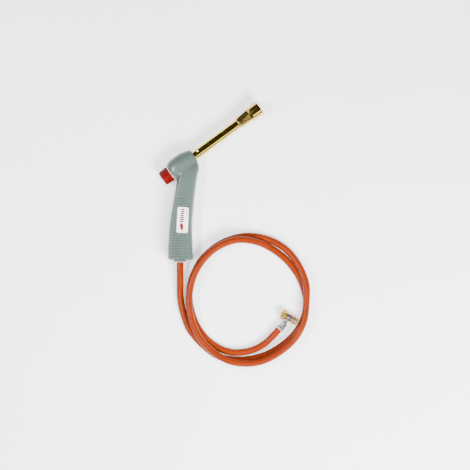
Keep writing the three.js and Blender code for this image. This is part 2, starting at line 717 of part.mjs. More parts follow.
function burnerCup() {
  const flats = hexBar(CUP_ACROSS_FLATS, CUP_START, CUP_HEX_END).rotateX(CUP_HEX_TURN);
  const rear = CUP_ACROSS_FLATS / 2;
  const round = turned([
    [0, CUP_START], [rear - 0.9, CUP_START], [rear + 0.1, CUP_START + 1],
    [rear / Math.cos(Math.PI / 6), CUP_HEX_END], [0, CUP_HEX_END],
  ], 28);
  const front = turned([
    [0, CUP_FLOOR], [rear, CUP_FLOOR], [CUP_MOUTH_RADIUS - 1, CUP_FLOOR + 6],
    [CUP_MOUTH_RADIUS - 0.4, CUP_FLOOR + 14], [CUP_MOUTH_RADIUS, CUP_END - 5],
    [CUP_MOUTH_RADIUS, CUP_END - 0.8], [CUP_MOUTH_RADIUS - 0.5, CUP_END], [0, CUP_END],
  ], 28);
  const sleeve = rod(TUBE_SOCKET, CUP_START - RUN_OUT, CUP_SHOULDER, 28);
  const throat = rod(TUBE_RADIUS - TUBE_WALL, CUP_SHOULDER - RUN_OUT, CUP_FLOOR + RUN_OUT, 28);
  const chamber = rod(CUP_THROAT, CUP_FLOOR, CUP_FLOOR + 7, 28);
  const flare = turned([
    [0, CUP_FLOOR + 6], [CUP_THROAT, CUP_FLOOR + 6], [CUP_BORE, CUP_FLOOR + 12],
    [CUP_BORE, CUP_END + RUN_OUT], [0, CUP_END + RUN_OUT],
  ], 28);
  const shell = joined(common(flats, round), front);
  return cut(shell, sleeve, throat, chamber, flare);
}

function flameStabiliser() {
  const radius = CUP_THROAT - GAP;
  const from = CUP_FLOOR + GAP;
  const disc = rod(radius, from, from + STABILISER_THICKNESS, 24);
  const [low, high] = [from - RUN_OUT, from + STABILISER_THICKNESS + RUN_OUT];
  const holes = [rod(STABILISER_BORE, low, high, 12)];
  for (let i = 0; i < PILOT_HOLES; i += 1) {
    const pilot = rod(PILOT_RADIUS, low, high, 6).translate(0, radius - 2.2, 0);
    holes.push(pilot.rotateX(i / PILOT_HOLES * Math.PI * 2));
  }
  return cut(disc, ...holes);
}

function addBurner(group) {
  const axis = new THREE.Group();
  axis.position.set(HEAD_X, HEAD_Y, 0);
  axis.rotation.z = BURNER_TILT;
  group.add(axis);
  addPart(axis, 'valve_body', valveBody(), BRASS);
  addPart(axis, 'gland_nut', glandNut(), BRASS);
  addPart(axis, 'spindle_o_ring', spindleSeal(), BLACK_RUBBER);
  addPart(axis, 'valve_spindle', valveSpindle(), STEEL);
  addPart(axis, 'valve_knob', valveKnob(), RED_PLASTIC);
  addPart(axis, 'knob_washer', knobWasher(), WHITE_PLASTIC);
  addPart(axis, 'jet_filter', jetFilter(), STEEL);
  addPart(axis, 'gas_jet', gasJet(), BRASS);
  addPart(axis, 'burner_tube', burnerTube(), BRASS);
  addPart(axis, 'burner_cup', burnerCup(), BRASS);
  addPart(axis, 'flame_stabiliser', flameStabiliser(), BRASS);
}

// ---------------------------------------------------------------- hose and its fitting

function hoseTube() {
  const points = HOSE_ROUTE.map(([x, y, z]) => new THREE.Vector3(x, y, z));
  const section = new THREE.Shape();
  for (let i = 0; i < HOSE_SIDES; i += 1) {
    const angle = (i + 0.5) / HOSE_SIDES * Math.PI * 2;
    const [x, y] = [HOSE_RADIUS * Math.cos(angle), HOSE_RADIUS * Math.sin(angle)];
    if (i === 0) section.moveTo(x, y);
    else section.lineTo(x, y);
  }
  section.closePath();
  return new THREE.ExtrudeGeometry(section, {
    steps: HOSE_STEPS,
    bevelEnabled: false,
    extrudePath: new THREE.CatmullRomCurve3(points, false, 'centripetal'),
  });
}

// Stations along the bolt: the nut's mouth is at the low end and the bolt's head at the high end.
const WASHER_NEAR = BANJO_HALF_WIDTH + GAP;
const WASHER_FAR = WASHER_NEAR + WASHER_THICKNESS;
const SHOULDER = -WASHER_FAR - GAP;
const NIPPLE_NECK = SHOULDER - 1.2;
const NUT_REAR = NIPPLE_NECK - GAP;
const NUT_MOUTH = NUT_REAR - NUT_LENGTH;
const NUT_LIP = 1.5;
const RING_THICKNESS = 0.7;
const FLANGE_REAR = NUT_REAR - NUT_LIP - RING_THICKNESS - 2 * GAP;
const BOLT_END = 14;
const BOLT_REACH = 3; // of the shank into the swivel nipple
const BOLT_WAY = 1.3;
const NECK_RADIUS = BOLT_SHANK_RADIUS + 1.3;
const FLANGE_RADIUS = NECK_RADIUS + 1.4;
const NUT_BORE = FLANGE_RADIUS + GAP;
const NUT_ACROSS_FLATS = 2 * (NUT_BORE + NUT_WALL);
const BANJO_RADIUS = BOLT_SHANK_RADIUS + GAP + BANJO_WALL;
const TAIL_RADIUS = 2.7;

function banjoTail() {
  const ring = rod(BANJO_RADIUS, -BANJO_HALF_WIDTH, BANJO_HALF_WIDTH, 20);
  const end = FERRULE_START + FERRULE_LENGTH - 1;
  const collar = TAIL_RADIUS + 0.9;
  const stem = turned([
    [0, BOLT_SHANK_RADIUS], [TAIL_RADIUS, BOLT_SHANK_RADIUS], [TAIL_RADIUS, FERRULE_START - 3],
    [collar, FERRULE_START - 2], [collar, FERRULE_START - GAP],
    [TAIL_RADIUS, FERRULE_START - GAP], [TAIL_RADIUS, end], [0, end],
  ], 14);
  stem.rotateZ(TAIL_TURN);
  const way = rod(GAS_WAY, 0, end + RUN_OUT, 8).rotateZ(TAIL_TURN);
  const through = BANJO_HALF_WIDTH + RUN_OUT;
  const eye = rod(BOLT_SHANK_RADIUS + GAP, -through, through);
  // The stem leaves the ring at a slant, so it is faced off flush beside each washer.
  const facing = BANJO_HALF_WIDTH + 4;
  const nutFacing = rod(BANJO_RADIUS, -facing, -BANJO_HALF_WIDTH);
  const headFacing = rod(BANJO_RADIUS, BANJO_HALF_WIDTH, facing);
  return cut(joined(ring, cut(stem, nutFacing, headFacing)), way, eye);
}

function hoseFerrule() {
  const [from, to] = [FERRULE_START, FERRULE_START + FERRULE_LENGTH];
  const [inner, outer] = [TAIL_RADIUS + GAP, HOSE_RADIUS + FERRULE_WALL];
  return turnedRing([
    [inner, from], [outer - 1.2, from], [outer - 0.4, from + 1], [outer - 0.4, to - 3],
    [outer, to - 2.4], [outer, to - 0.4], [outer - 0.4, to], [inner, to],
  ], 20).rotateZ(TAIL_TURN);
}

function banjoWasher(side) {
  const [inner, outer] = [BOLT_SHANK_RADIUS + GAP, BANJO_RADIUS - 0.6];
  const [near, far] = [side * WASHER_NEAR, side * WASHER_FAR];
  return turnedRing([[inner, near], [outer, near], [outer, far], [inner, far]], 18);
}

function banjoBolt() {
  const groove = BOLT_END - 3.4;
  const head = turned([
    [0, WASHER_FAR + GAP], [BOLT_HEAD_RADIUS, WASHER_FAR + GAP], [BOLT_HEAD_RADIUS, groove],
    [BOLT_HEAD_RADIUS - 0.7, groove + 0.3], [BOLT_HEAD_RADIUS - 0.7, groove + 0.9],
    [BOLT_HEAD_RADIUS, groove + 1.2],
    [BOLT_HEAD_RADIUS, BOLT_END - 0.8], [BOLT_HEAD_RADIUS - 0.8, BOLT_END], [0, BOLT_END],
  ], 20);
  const shank = rod(BOLT_SHANK_RADIUS, SHOULDER - BOLT_REACH, WASHER_FAR + RUN_OUT);
  const way = rod(BOLT_WAY, SHOULDER - BOLT_REACH - RUN_OUT, GAS_WAY, 8);
  const across = BOLT_SHANK_RADIUS + RUN_OUT;
  const port = alongY(rod(BOLT_WAY - 0.2, -across, across, 8));
  return cut(joined(head, shank), way, port);
}

function swivelNipple() {
  const nose = FLANGE_REAR - 2;
  const body = turned([
    [0, SHOULDER], [NECK_RADIUS + 1.1, SHOULDER], [NECK_RADIUS + 1.1, NIPPLE_NECK],
    [NECK_RADIUS, NIPPLE_NECK], [NECK_RADIUS, FLANGE_REAR], [FLANGE_RADIUS, FLANGE_REAR],
    [FLANGE_RADIUS, FLANGE_REAR - 0.8], [NECK_RADIUS - 0.8, nose], [0, nose],
  ], 20);
  const socket = rod(BOLT_SHANK_RADIUS + GAP, SHOULDER - BOLT_REACH - GAP, SHOULDER + RUN_OUT);
  return cut(body, socket, rod(BOLT_WAY, nose - RUN_OUT, SHOULDER, 8));
}

function unionNut() {
  const hex = hexBar(NUT_ACROSS_FLATS, NUT_MOUTH, NUT_REAR);
  const corner = NUT_ACROSS_FLATS / Math.sqrt(3);
  const rounded = turned([
    [0, NUT_MOUTH], [corner - 1.5, NUT_MOUTH], [corner, NUT_MOUTH + 1.4],
    [corner, NUT_REAR - 0.7], [corner - 0.9, NUT_REAR], [0, NUT_REAR],
  ], 24);
  const cavity = rod(NUT_BORE, NUT_MOUTH - RUN_OUT, NUT_REAR - NUT_LIP, 24);
  const lip = rod(NECK_RADIUS + GAP, NUT_REAR - NUT_LIP - RUN_OUT, NUT_REAR + RUN_OUT, 20);
  return cut(common(hex, rounded), cavity, lip);
}

function nutRetainingRing() {
  const high = NUT_REAR - NUT_LIP - GAP;
  const [inner, outer] = [NECK_RADIUS + GAP, FLANGE_RADIUS - 0.1];
  return turnedRing([
    [inner, high - RING_THICKNESS], [outer, high - RING_THICKNESS], [outer, high], [inner, high],
  ], 20);
}

function addHose(group) {
  addPart(group, 'hose', hoseTube(), HOSE_RUBBER);
  const fitting = new THREE.Group();
  fitting.position.copy(FITTING);
  fitting.rotation.z = FITTING_TURN;
  group.add(fitting);
  addPart(fitting, 'hose_ferrule', hoseFerrule(), STEEL);
  addPart(fitting, 'banjo_tail', banjoTail(), STEEL);
  addPart(fitting, 'banjo_washer_nut_side', banjoWasher(-1), COPPER);
  addPart(fitting, 'banjo_washer_head_side', banjoWasher(1), COPPER);
  addPart(fitting, 'banjo_bolt', banjoBolt(), BRASS);
  addPart(fitting, 'swivel_nipple', swivelNipple(), BRASS);
  addPart(fitting, 'nut_retaining_ring', nutRetainingRing(), STEEL);
  addPart(fitting, 'union_nut', unionNut(), BRASS);
}

// ---------------------------------------------------------------- the whole torch
const lampworkTorch = new THREE.Group();
const torch = new THREE.Group();
torch.position.z = HALF;
lampworkTorch.add(torch);
addHandle(torch);
addGasLine(torch);
addBurner(torch);
addHose(lampworkTorch);

export default lampworkTorch;
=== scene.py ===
import json
import math

import bmesh
import bpy
import numpy as np
from mathutils import Matrix, Vector
from mathutils.bvhtree import BVHTree


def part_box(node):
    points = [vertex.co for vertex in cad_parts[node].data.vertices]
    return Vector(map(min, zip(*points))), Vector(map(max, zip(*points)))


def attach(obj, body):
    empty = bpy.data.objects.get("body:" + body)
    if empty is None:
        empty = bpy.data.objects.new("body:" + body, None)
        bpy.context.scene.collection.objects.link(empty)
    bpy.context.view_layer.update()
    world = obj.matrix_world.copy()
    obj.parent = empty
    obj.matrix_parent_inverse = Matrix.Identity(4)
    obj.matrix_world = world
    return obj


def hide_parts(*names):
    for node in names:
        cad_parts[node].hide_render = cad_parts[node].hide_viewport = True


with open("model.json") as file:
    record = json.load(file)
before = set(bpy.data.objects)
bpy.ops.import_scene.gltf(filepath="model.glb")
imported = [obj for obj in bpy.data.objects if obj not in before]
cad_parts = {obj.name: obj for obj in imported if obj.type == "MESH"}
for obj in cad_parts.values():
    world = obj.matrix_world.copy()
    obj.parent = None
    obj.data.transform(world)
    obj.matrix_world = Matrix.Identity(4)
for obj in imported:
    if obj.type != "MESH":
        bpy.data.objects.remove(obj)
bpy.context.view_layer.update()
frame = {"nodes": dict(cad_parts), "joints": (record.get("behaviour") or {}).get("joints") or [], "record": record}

# Every shape below is worked out in millimetres and scaled to metres as its mesh is made.
MM = 0.001

# ---------------------------------------------------------------- the frame's own axes


class Axis:
    """A line in the frame that turned pieces lie on, with stations measured along it."""

    def __init__(self, point, direction):
        self.point = Vector(point) / MM
        self.ahead = Vector(direction).normalized()
        side = Vector((0, 0, 1)).cross(self.ahead)
        self.side = side.normalized() if side.length > 0.1 else Vector((0, 1, 0))
        self.up = self.ahead.cross(self.side)

    def at(self, station, across=0.0, up=0.0):
        return self.point + self.ahead * station + self.side * across + self.up * up

    def matrix(self):
        """Turns a piece made about +X so that it lies on this axis."""
        turn = Matrix((self.ahead, self.side, self.up)).transposed().to_4x4()
        return Matrix.Translation(self.point) @ turn


class Span:
    """Where a CAD node lies along an axis: its ends, its outer radius and its bore."""

    def __init__(self, node, axis):
        points = np.array([v.co for v in frame["nodes"][node].data.vertices]) / MM
        offset = points - np.array(axis.point)
        along = offset @ np.array(axis.ahead)
        radii = np.linalg.norm(offset - np.outer(along, np.array(axis.ahead)), axis=1)
        self.start, self.end = float(along.min()), float(along.max())
        self.radius, self.bore = float(radii.max()), float(radii.min())


def joint(name):
    return next(j for j in frame["joints"] if j["name"] == name)


valve = joint("valve_turn")
BURNER = Axis(valve["pos_m"], [-x for x in valve["axis"]])
swivel = joint("union_nut_spin")
EYE_AHEAD = 0.010  # from the nut's joint to the middle of the eye that the bolt goes through
FITTING = Axis(Vector(swivel["pos_m"]) + EYE_AHEAD * Vector(swivel["axis"]), swivel["axis"])
HALF = BURNER.point.z  # the parting plane's height is half the handle's thickness
GAP = 0.3  # clearance between pieces that fit into each other

# ---------------------------------------------------------------- mesh helpers


def new_object(name, mesh):
    piece = bpy.data.objects.new(name, mesh)
    bpy.context.scene.collection.objects.link(piece)
    return piece


def mesh_piece(name, points, faces, place=None, smooth=True):
    """A piece from points in millimetres, its faces turned outward."""
    scale = Matrix.Scale(MM, 4) @ (place or Matrix.Identity(4))
    mesh = bpy.data.meshes.new(name)
    mesh.from_pydata([scale @ Vector(p) for p in points], [], faces)
    tidy = bmesh.new()
    tidy.from_mesh(mesh)
    bmesh.ops.remove_doubles(tidy, verts=tidy.verts, dist=1e-7)
    bmesh.ops.recalc_face_normals(tidy, faces=tidy.faces)
    tidy.to_mesh(mesh)
    tidy.free()
    mesh.polygons.foreach_set("use_smooth", [smooth] * len(mesh.polygons))
    return new_object(name, mesh)


def rounded(profile, radius, steps=4, closed=False):
    """The outline with its corners rounded by about the given radius."""
    points = [Vector(p) for p in profile]
    count = len(points)
    out = []
    for i, corner in enumerate(points):
        if not closed and i in (0, count - 1):
            out.append(corner)
            continue
        before, after = points[i - 1] - corner, points[(i + 1) % count] - corner
        reach = min(radius, before.length * 0.45, after.length * 0.45)
        first, last = corner + before.normalized() * reach, corner + after.normalized() * reach
        for k in range(steps + 1):
            u = k / steps
            out.append(first * (1 - u) ** 2 + corner * 2 * u * (1 - u) + last * u * u)
    return out


def ring_faces(rows, count, closed):
    """Quads between rings of points that lie one after the other."""
    faces = []
    for row in range(rows if closed else rows - 1):
        for i in range(count):
            a, b = row * count + i, row * count + (i + 1) % count
            c, d = ((row + 1) % rows) * count + (i + 1) % count, ((row + 1) % rows) * count + i
            faces.append((a, b, c, d))
    return faces


def capped_faces(rows, count):
    """Quads between rings of points, and a face over each end."""
    last = (rows - 1) * count
    return [*ring_faces(rows, count, False), list(range(count)), list(range(last, last + count))]


def turned(name, profile, place, segments=64, shape=None, closed=False):
    """A piece turned about +X from (radius, station) pairs. shape(angle, radius, station) changes
    the radius round the turn. A closed profile makes a ring or tube; an open one gets end caps."""
    points = []
    for radius, station in profile:
        for i in range(segments):
            angle = 2 * math.pi * i / segments
            reach = shape(angle, radius, station) if shape else radius
            points.append((station, reach * math.cos(angle), reach * math.sin(angle)))
    rows = len(profile)
    faces = ring_faces(rows, segments, True) if closed else capped_faces(rows, segments)
    return mesh_piece(name, points, faces, place)


def evaluated(piece):
    """The piece with its modifiers worked into the mesh."""
    bpy.context.view_layer.update()
    graph = bpy.context.evaluated_depsgraph_get()
    mesh = bpy.data.meshes.new_from_object(piece.evaluated_get(graph))
    old = piece.data
    piece.modifiers.clear()
    piece.data = mesh
    mesh.name = piece.name
    bpy.data.meshes.remove(old)


def shade_smooth(piece):
    piece.data.polygons.foreach_set("use_smooth", [True] * len(piece.data.polygons))


def boolean(piece, other, operation):
    step = piece.modifiers.new("cut", "BOOLEAN")
    step.operation, step.solver, step.object = operation, "EXACT", other
    evaluated(piece)
    bpy.data.objects.remove(other)
    return piece


def crisp(piece, width=0.12):
    """Small bevels on the hard edges, and smooth faces between them."""
    bevel = piece.modifiers.new("edges", "BEVEL")
    bevel.width, bevel.segments, bevel.limit_method = width * MM, 2, "ANGLE"
    bevel.angle_limit = math.radians(35)


# ---------------------------------------------------------------- material helpers


class Finish:
    """A node material built round one Principled shader."""

    def __init__(self, name, **values):
        self.material = bpy.data.materials.new(name)
        self.material.use_nodes = True
        self.tree = self.material.node_tree
        self.shader = self.tree.nodes["Principled BSDF"]
        for socket, value in values.items():
            self.shader.inputs[socket.replace("_", " ")].default_value = value
        self.place = self.node("ShaderNodeTexCoord").outputs["Object"]

    def node(self, kind, **values):
        made = self.tree.nodes.new(kind)
        for key, value in values.items():
            if key[0].isupper():
                made.inputs[key.replace("_", " ")].default_value = value
            else:
                setattr(made, key, value)
        return made

    def link(self, source, target):
        self.tree.links.new(source, target)

    def mapped(self, stretch, turn=0.0):
        """Object coordinates turned about Z and then stretched."""
        spin = self.node("ShaderNodeMapping", Rotation=(0, 0, -turn))
        pull = self.node("ShaderNodeMapping", Scale=stretch)
        self.link(self.place, spin.inputs["Vector"])
        self.link(spin.outputs["Vector"], pull.inputs["Vector"])
        return pull.outputs["Vector"]

    def noise(self, scale, detail=4.0, vector=None, roughness=0.55):
        made = self.node("ShaderNodeTexNoise", Scale=scale, Detail=detail, Roughness=roughness)
        self.link(vector or self.place, made.inputs["Vector"])
        return made.outputs["Fac"]

    def cloud(self, scale, low, high, detail=4.0, vector=None, levels=(0.3, 0.7)):
        """Soft patches of noise that run from a low colour or value to a high one."""
        return self.ramp(self.noise(scale, detail, vector), list(zip(levels, (low, high))))

    def ramp(self, source, stops):
        """A colour or value for each level of the source: stops are (level, colour)."""
        made = self.node("ShaderNodeValToRGB")
        band = made.color_ramp
        while len(band.elements) < len(stops):
            band.elements.new(0.5)
        for element, (level, colour) in zip(band.elements, stops):
            element.position = level
            element.color = (*colour, 1) if isinstance(colour, tuple) else (colour,) * 3 + (1,)
        self.link(source, made.inputs["Fac"])
        return made.outputs["Color"]

    def mix(self, share, first, second, blend="MIX"):
        made = self.node("ShaderNodeMix", data_type="RGBA", blend_type=blend)
        for socket, value in ((0, share), (6, first), (7, second)):
            if isinstance(value, bpy.types.NodeSocket):
                self.link(value, made.inputs[socket])
            elif socket == 0:
                made.inputs[socket].default_value = value
            else:
                made.inputs[socket].default_value = (*value, 1)
        return made.outputs[2]

    def into(self, socket, source):
        self.link(source, self.shader.inputs[socket])

    def bump(self, source, strength, distance):
        """Adds a bump on top of any bump made before it."""
        made = self.node("ShaderNodeBump", Strength=strength, Distance=distance * MM)
        self.link(source, made.inputs["Height"])
        before = self.shader.inputs["Normal"].links
        if before:
            self.link(before[0].from_socket, made.inputs["Normal"])
        self.into("Normal", made.outputs["Normal"])


LATHE_LINES = 2600.0  # how finely the lathe's lines are drawn along a brass piece


def edge_wear_and_highlight(finish):
    """A level that is high on convex edges and corners. The colours mixed in with it are partly edge wear and
    partly a painted edge highlight.
    """
    pointy = finish.node("ShaderNodeNewGeometry").outputs["Pointiness"]
    return finish.ramp(pointy, [(0.56, 0.0), (0.68, 1.0)])


def grey_plastic():
    finish = Finish("grey_plastic", Roughness=0.42, IOR=1.49, Specular_IOR_Level=0.45)
    cloud = finish.cloud(28, (0.060, 0.085, 0.076), (0.074, 0.102, 0.092))
    speck = finish.cloud(900, 0.93, 1.04, 2, levels=(0.42, 0.6))
    tone = finish.mix(1.0, cloud, speck, "MULTIPLY")
    # Convex edges lightened: partly edge wear, partly a painted edge highlight.
    finish.into("Base Color", finish.mix(edge_wear_and_highlight(finish), tone, (0.10, 0.135, 0.122)))
    finish.into("Roughness", finish.cloud(120, 0.24, 0.34))
    finish.bump(finish.noise(1700, 3), 0.18, 0.06)
    finish.bump(finish.noise(45, 2), 0.12, 0.25)
    return finish.material


def gland_plastic():
    finish = Finish("gland_plastic", Roughness=0.5)
    finish.into("Base Color", finish.cloud(90, (0.035, 0.045, 0.040), (0.06, 0.075, 0.068)))
    finish.bump(finish.noise(1500, 3), 0.2, 0.06)
    return finish.material


def red_plastic():
    finish = Finish("red_plastic", Roughness=0.34, Specular_IOR_Level=0.15)
    cloud = finish.cloud(140, (0.075, 0.0001, 0.0001), (0.135, 0.0001, 0.0001))
    # Convex edges a brighter red: partly edge wear, partly a painted edge highlight.
    finish.into("Base Color", finish.mix(edge_wear_and_highlight(finish), cloud, (0.17, 0.0006, 0.0004)))
    finish.into("Roughness", finish.cloud(400, 0.3, 0.42))
    finish.bump(finish.noise(1300, 3), 0.12, 0.05)
    return finish.material


def label_white():
    finish = Finish("label_white", Roughness=0.25, Coat_Weight=0.5, Coat_Roughness=0.1)
    finish.into("Base Color", finish.cloud(60, (0.86, 0.86, 0.84), (0.93, 0.93, 0.92)))
    finish.bump(finish.noise(300, 2), 0.05, 0.05)
    return finish.material


def label_ink():
    finish = Finish("label_ink", Roughness=0.3, Coat_Weight=0.4, Coat_Roughness=0.12)
    cloud = finish.cloud(500, (0.15, 0.0008, 0.004), (0.24, 0.002, 0.007), levels=(0.35, 0.7))
    finish.into("Base Color", cloud)
    finish.bump(finish.noise(700, 2), 0.08, 0.03)
    return finish.material


def brass(name, low, high, roughness, turn, tint=None):
    """Turned brass: colour clouds, fine lathe lines across the axis and soft stains along it."""
    finish = Finish(name, Metallic=1.0, Roughness=roughness)
    cloud = finish.cloud(85, low, high, 5, finish.mapped((0.35, 1.0, 1.0), turn))
    stain = finish.cloud(30, 0.0, 0.55, 6, levels=(0.45, 0.75))
    colour = finish.mix(stain, cloud, tint or tuple(c * 0.55 for c in low))
    # A lighter colour on convex edges: partly rubbed brass, partly a painted edge highlight.
    worn_and_highlit_edge = tuple(min(1, c * 1.25) for c in high)
    finish.into("Base Color", finish.mix(edge_wear_and_highlight(finish), colour, worn_and_highlit_edge))
    finish.into("Roughness", finish.cloud(210, roughness * 0.7, roughness * 1.5))
    grooves = finish.noise(1.0, 2, finish.mapped((LATHE_LINES, 6.0, 6.0), turn))
    finish.bump(grooves, 0.08, 0.02)
    return finish.material


def zinc_steel():
    finish = Finish("zinc_steel", Metallic=1.0, Roughness=0.38)
    cloud = finish.cloud(160, (0.44, 0.48, 0.50), (0.66, 0.69, 0.70), 5)
    # Convex edges near white: partly worn plating, partly a painted edge highlight.
    finish.into("Base Color", finish.mix(edge_wear_and_highlight(finish), cloud, (0.9, 0.9, 0.88)))
    finish.into("Roughness", finish.cloud(420, 0.34, 0.5))
    finish.bump(finish.noise(900, 3), 0.15, 0.03)
    return finish.material


def copper():
    finish = Finish("copper", Metallic=1.0, Roughness=0.32)
    finish.into("Base Color", finish.cloud(180, (0.48, 0.20, 0.11), (0.76, 0.38, 0.24), 5))
    finish.bump(finish.noise(1100, 3), 0.12, 0.03)
    return finish.material


def hose_rubber():
    finish = Finish("hose_rubber", Roughness=0.45, Specular_IOR_Level=0.2)
    cloud = finish.cloud(26, (0.130, 0.0115, 0.0), (0.190, 0.019, 0.0), 5, levels=(0.28, 0.72))
    scuff = finish.cloud(150, 0.0, 0.35, 6, levels=(0.55, 0.8))
    finish.into("Base Color", finish.mix(scuff, cloud, (0.23, 0.030, 0.001)))
    finish.into("Roughness", finish.cloud(70, 0.33, 0.5))
    finish.bump(finish.noise(750, 3), 0.16, 0.05)
    return finish.material


def black_rubber():
    finish = Finish("black_rubber", Roughness=0.7)
    finish.into("Base Color", finish.cloud(300, 0.015, 0.045))
    finish.bump(finish.noise(1200, 3), 0.2, 0.05)
    return finish.material


def axis_turn(axis):
    return math.atan2(axis.ahead.y, axis.ahead.x)


MATERIALS = {
    "grey": grey_plastic(),
    "gland": gland_plastic(),
    "red": red_plastic(),
    "white": label_white(),
    "ink": label_ink(),
    "tube": brass("tube_brass", (0.52, 0.38, 0.035), (0.74, 0.57, 0.07), 0.14, axis_turn(BURNER),
                  tint=(0.50, 0.33, 0.10)),
    "cup": brass("cup_brass", (0.50, 0.35, 0.045), (0.70, 0.51, 0.09), 0.17, axis_turn(BURNER),
                 tint=(0.55, 0.30, 0.20)),
    "fitting": brass("fitting_brass", (0.84, 0.61, 0.13), (0.97, 0.76, 0.21), 0.46,
                     axis_turn(FITTING)),
    "bolt": brass("bolt_brass", (0.90, 0.59, 0.24), (0.99, 0.72, 0.34), 0.46, axis_turn(FITTING)),
    "inner": brass("inner_brass", (0.55, 0.42, 0.16), (0.78, 0.62, 0.28), 0.3, axis_turn(BURNER)),
    "steel": zinc_steel(),
    "copper": copper(),
    "hose": hose_rubber(),
    "black": black_rubber(),
}


def dress(piece, material, body, slot, *replaced):
    """Gives a finished piece its material and body and hides the CAD nodes it stands for; its slot argument is not
    used.
    """
    piece.data.materials.clear()
    piece.data.materials.append(MATERIALS[material])
    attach(piece, body)
    if replaced:
        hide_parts(*replaced)
    return piece


# ---------------------------------------------------------------- camera, lights and floor

VIEW_CENTRE = Vector((0.0379, -0.0859, 0.015))
VIEW_WIDTH = 0.752
SENSOR = 36.0
LENS = 200.0
ROOM_LIGHT = (0.3, 0.31, 0.32, 1)
MIRRORED_ROOM, SEEN_ROOM = 0.04, 0.93  # the room's level in a shiny piece, and behind the object
FLOOR_GLOW, FLOOR_REACH = 0.6, 6000.0
LIGHTS = [  # name, azimuth, elevation, distance, size, power, and whether shiny pieces mirror it
    ("key", -53, 44, 1.6, (0.9, 0.7), 92, False),
    ("key_strip", -53, 41, 1.6, (1.2, 0.55), 11, True),
    ("left_strip", 184, 56, 1.5, (0.9, 0.2), 32, True),
    ("fill", 40, 75, 2.2, (0.6, 0.6), 34, False),
]


def add_camera():
    data = bpy.data.cameras.new("camera")
    data.lens, data.sensor_width = LENS, SENSOR
    data.clip_start, data.clip_end = 0.1, 50
    camera = bpy.data.objects.new("camera", data)
    camera.location = VIEW_CENTRE + Vector((0, 0, VIEW_WIDTH * LENS / SENSOR))
    bpy.context.scene.collection.objects.link(camera)
    bpy.context.scene.camera = camera


def add_light(name, azimuth, elevation, distance, size, power, mirrored):
    """A soft light aimed at the view's centre. Azimuth is measured from +X towards +Y."""
    data = bpy.data.lights.new(name, "AREA")
    data.shape, data.size, data.size_y = "RECTANGLE", *size
    data.energy = power
    light = bpy.data.objects.new(name, data)
    a, e = math.radians(azimuth), math.radians(elevation)
    away = Vector((math.cos(a) * math.cos(e), math.sin(a) * math.cos(e), math.sin(e)))
    light.location = VIEW_CENTRE + away * distance
    light.rotation_euler = away.to_track_quat("Z", "Y").to_euler()
    light.visible_glossy = mirrored
    bpy.context.scene.collection.objects.link(light)


def add_world():
    world = bpy.data.worlds.new("studio")
    bpy.context.scene.world = world
    world.use_nodes = True
    tree = world.node_tree
    around = tree.nodes["Background"]
    around.inputs["Color"].default_value = ROOM_LIGHT
    path = tree.nodes.new("ShaderNodeLightPath")
    shader = around.outputs["Background"]
    for ray, level in (("Is Glossy Ray", MIRRORED_ROOM), ("Is Camera Ray", SEEN_ROOM)):
        other = tree.nodes.new("ShaderNodeBackground")
        other.inputs["Color"].default_value = (level, level, level, 1)
        choice = tree.nodes.new("ShaderNodeMixShader")
        tree.links.new(path.outputs[ray], choice.inputs["Fac"])
        tree.links.new(shader, choice.inputs[1])
        tree.links.new(other.outputs["Background"], choice.inputs[2])
        shader = choice.outputs["Shader"]
    tree.links.new(shader, tree.nodes["World Output"].inputs["Surface"])


def add_floor():
    far = FLOOR_REACH
    corners = [(-far, -far, 0), (far, -far, 0), (far, far, 0), (-far, far, 0)]
    floor = mesh_piece("floor", corners, [(0, 1, 2, 3)], smooth=False)
    finish = Finish("floor", Roughness=0.7, Specular_IOR_Level=0.2, Emission_Strength=FLOOR_GLOW,
                    Emission_Color=(1, 1, 1, 1))
    finish.into("Base Color", finish.cloud(3, 0.86, 0.9))
    floor.data.materials.append(finish.material)


# ---------------------------------------------------------------- hose

HOSE_DIAMETER = 0.011
HOSE_ROUTE = [
    (-0.050, -0.1291, 0.015), (-0.050, -0.139, 0.0149), (-0.050, -0.152, 0.0126),
    (-0.050, -0.166, 0.009), (-0.050, -0.181, 0.0065), (-0.048, -0.198, 0.0057),
    (-0.044, -0.214, 0.0056), (-0.035, -0.237, 0.0056), (-0.012, -0.264, 0.0056),
    (0.015, -0.282, 0.0056), (0.050, -0.286, 0.0056), (0.084, -0.279, 0.0056),
    (0.113, -0.263, 0.0056), (0.136, -0.241, 0.0056), (0.149, -0.216, 0.0056),
    (0.152, -0.189, 0.0056), (0.143, -0.158, 0.0057), (0.124, -0.130, 0.006),
    (0.100, -0.110, 0.0085), (0.073, -0.097, 0.0145), (0.039, -0.094, 0.0165),
    (0.003, -0.110, 0.017), (-0.024, -0.142, 0.017), (-0.035, -0.180, 0.017),
    (-0.033, -0.215, 0.017), (-0.020, -0.248, 0.016), (0.001, -0.271, 0.017),
    (0.025, -0.286, 0.017), (0.052, -0.2915, 0.0162), (0.082, -0.2875, 0.0148),
    (0.111, -0.272, 0.0155), (0.134, -0.251, 0.0163), (0.148, -0.224, 0.017),
    (0.152, -0.194, 0.0171), (0.152, -0.166, 0.0162), (0.142, -0.138, 0.0135),
    (0.122, -0.111, 0.008), (0.091, -0.093, 0.0058), (0.051, -0.088, 0.0056),
    (0.009, -0.103, 0.0056), (-0.022, -0.135, 0.0056), (-0.035, -0.176, 0.0056),
    (-0.030, -0.214, 0.0056), (-0.015, -0.244, 0.0056), (0.007, -0.264, 0.0056),
    (0.034, -0.274, 0.0056), (0.066, -0.270, 0.0057), (0.0845, -0.2605, 0.0064),
    (0.098, -0.2483, 0.0083), (0.1084, -0.2368, 0.0086),
]


def hermite(u, start, leave, end, arrive):
    """The point at u on the cubic between two points with the given slopes."""
    return ((2 * u ** 3 - 3 * u ** 2 + 1) * start + (u ** 3 - 2 * u ** 2 + u) * leave
            + (3 * u ** 2 - 2 * u ** 3) * end + (u ** 3 - u ** 2) * arrive)


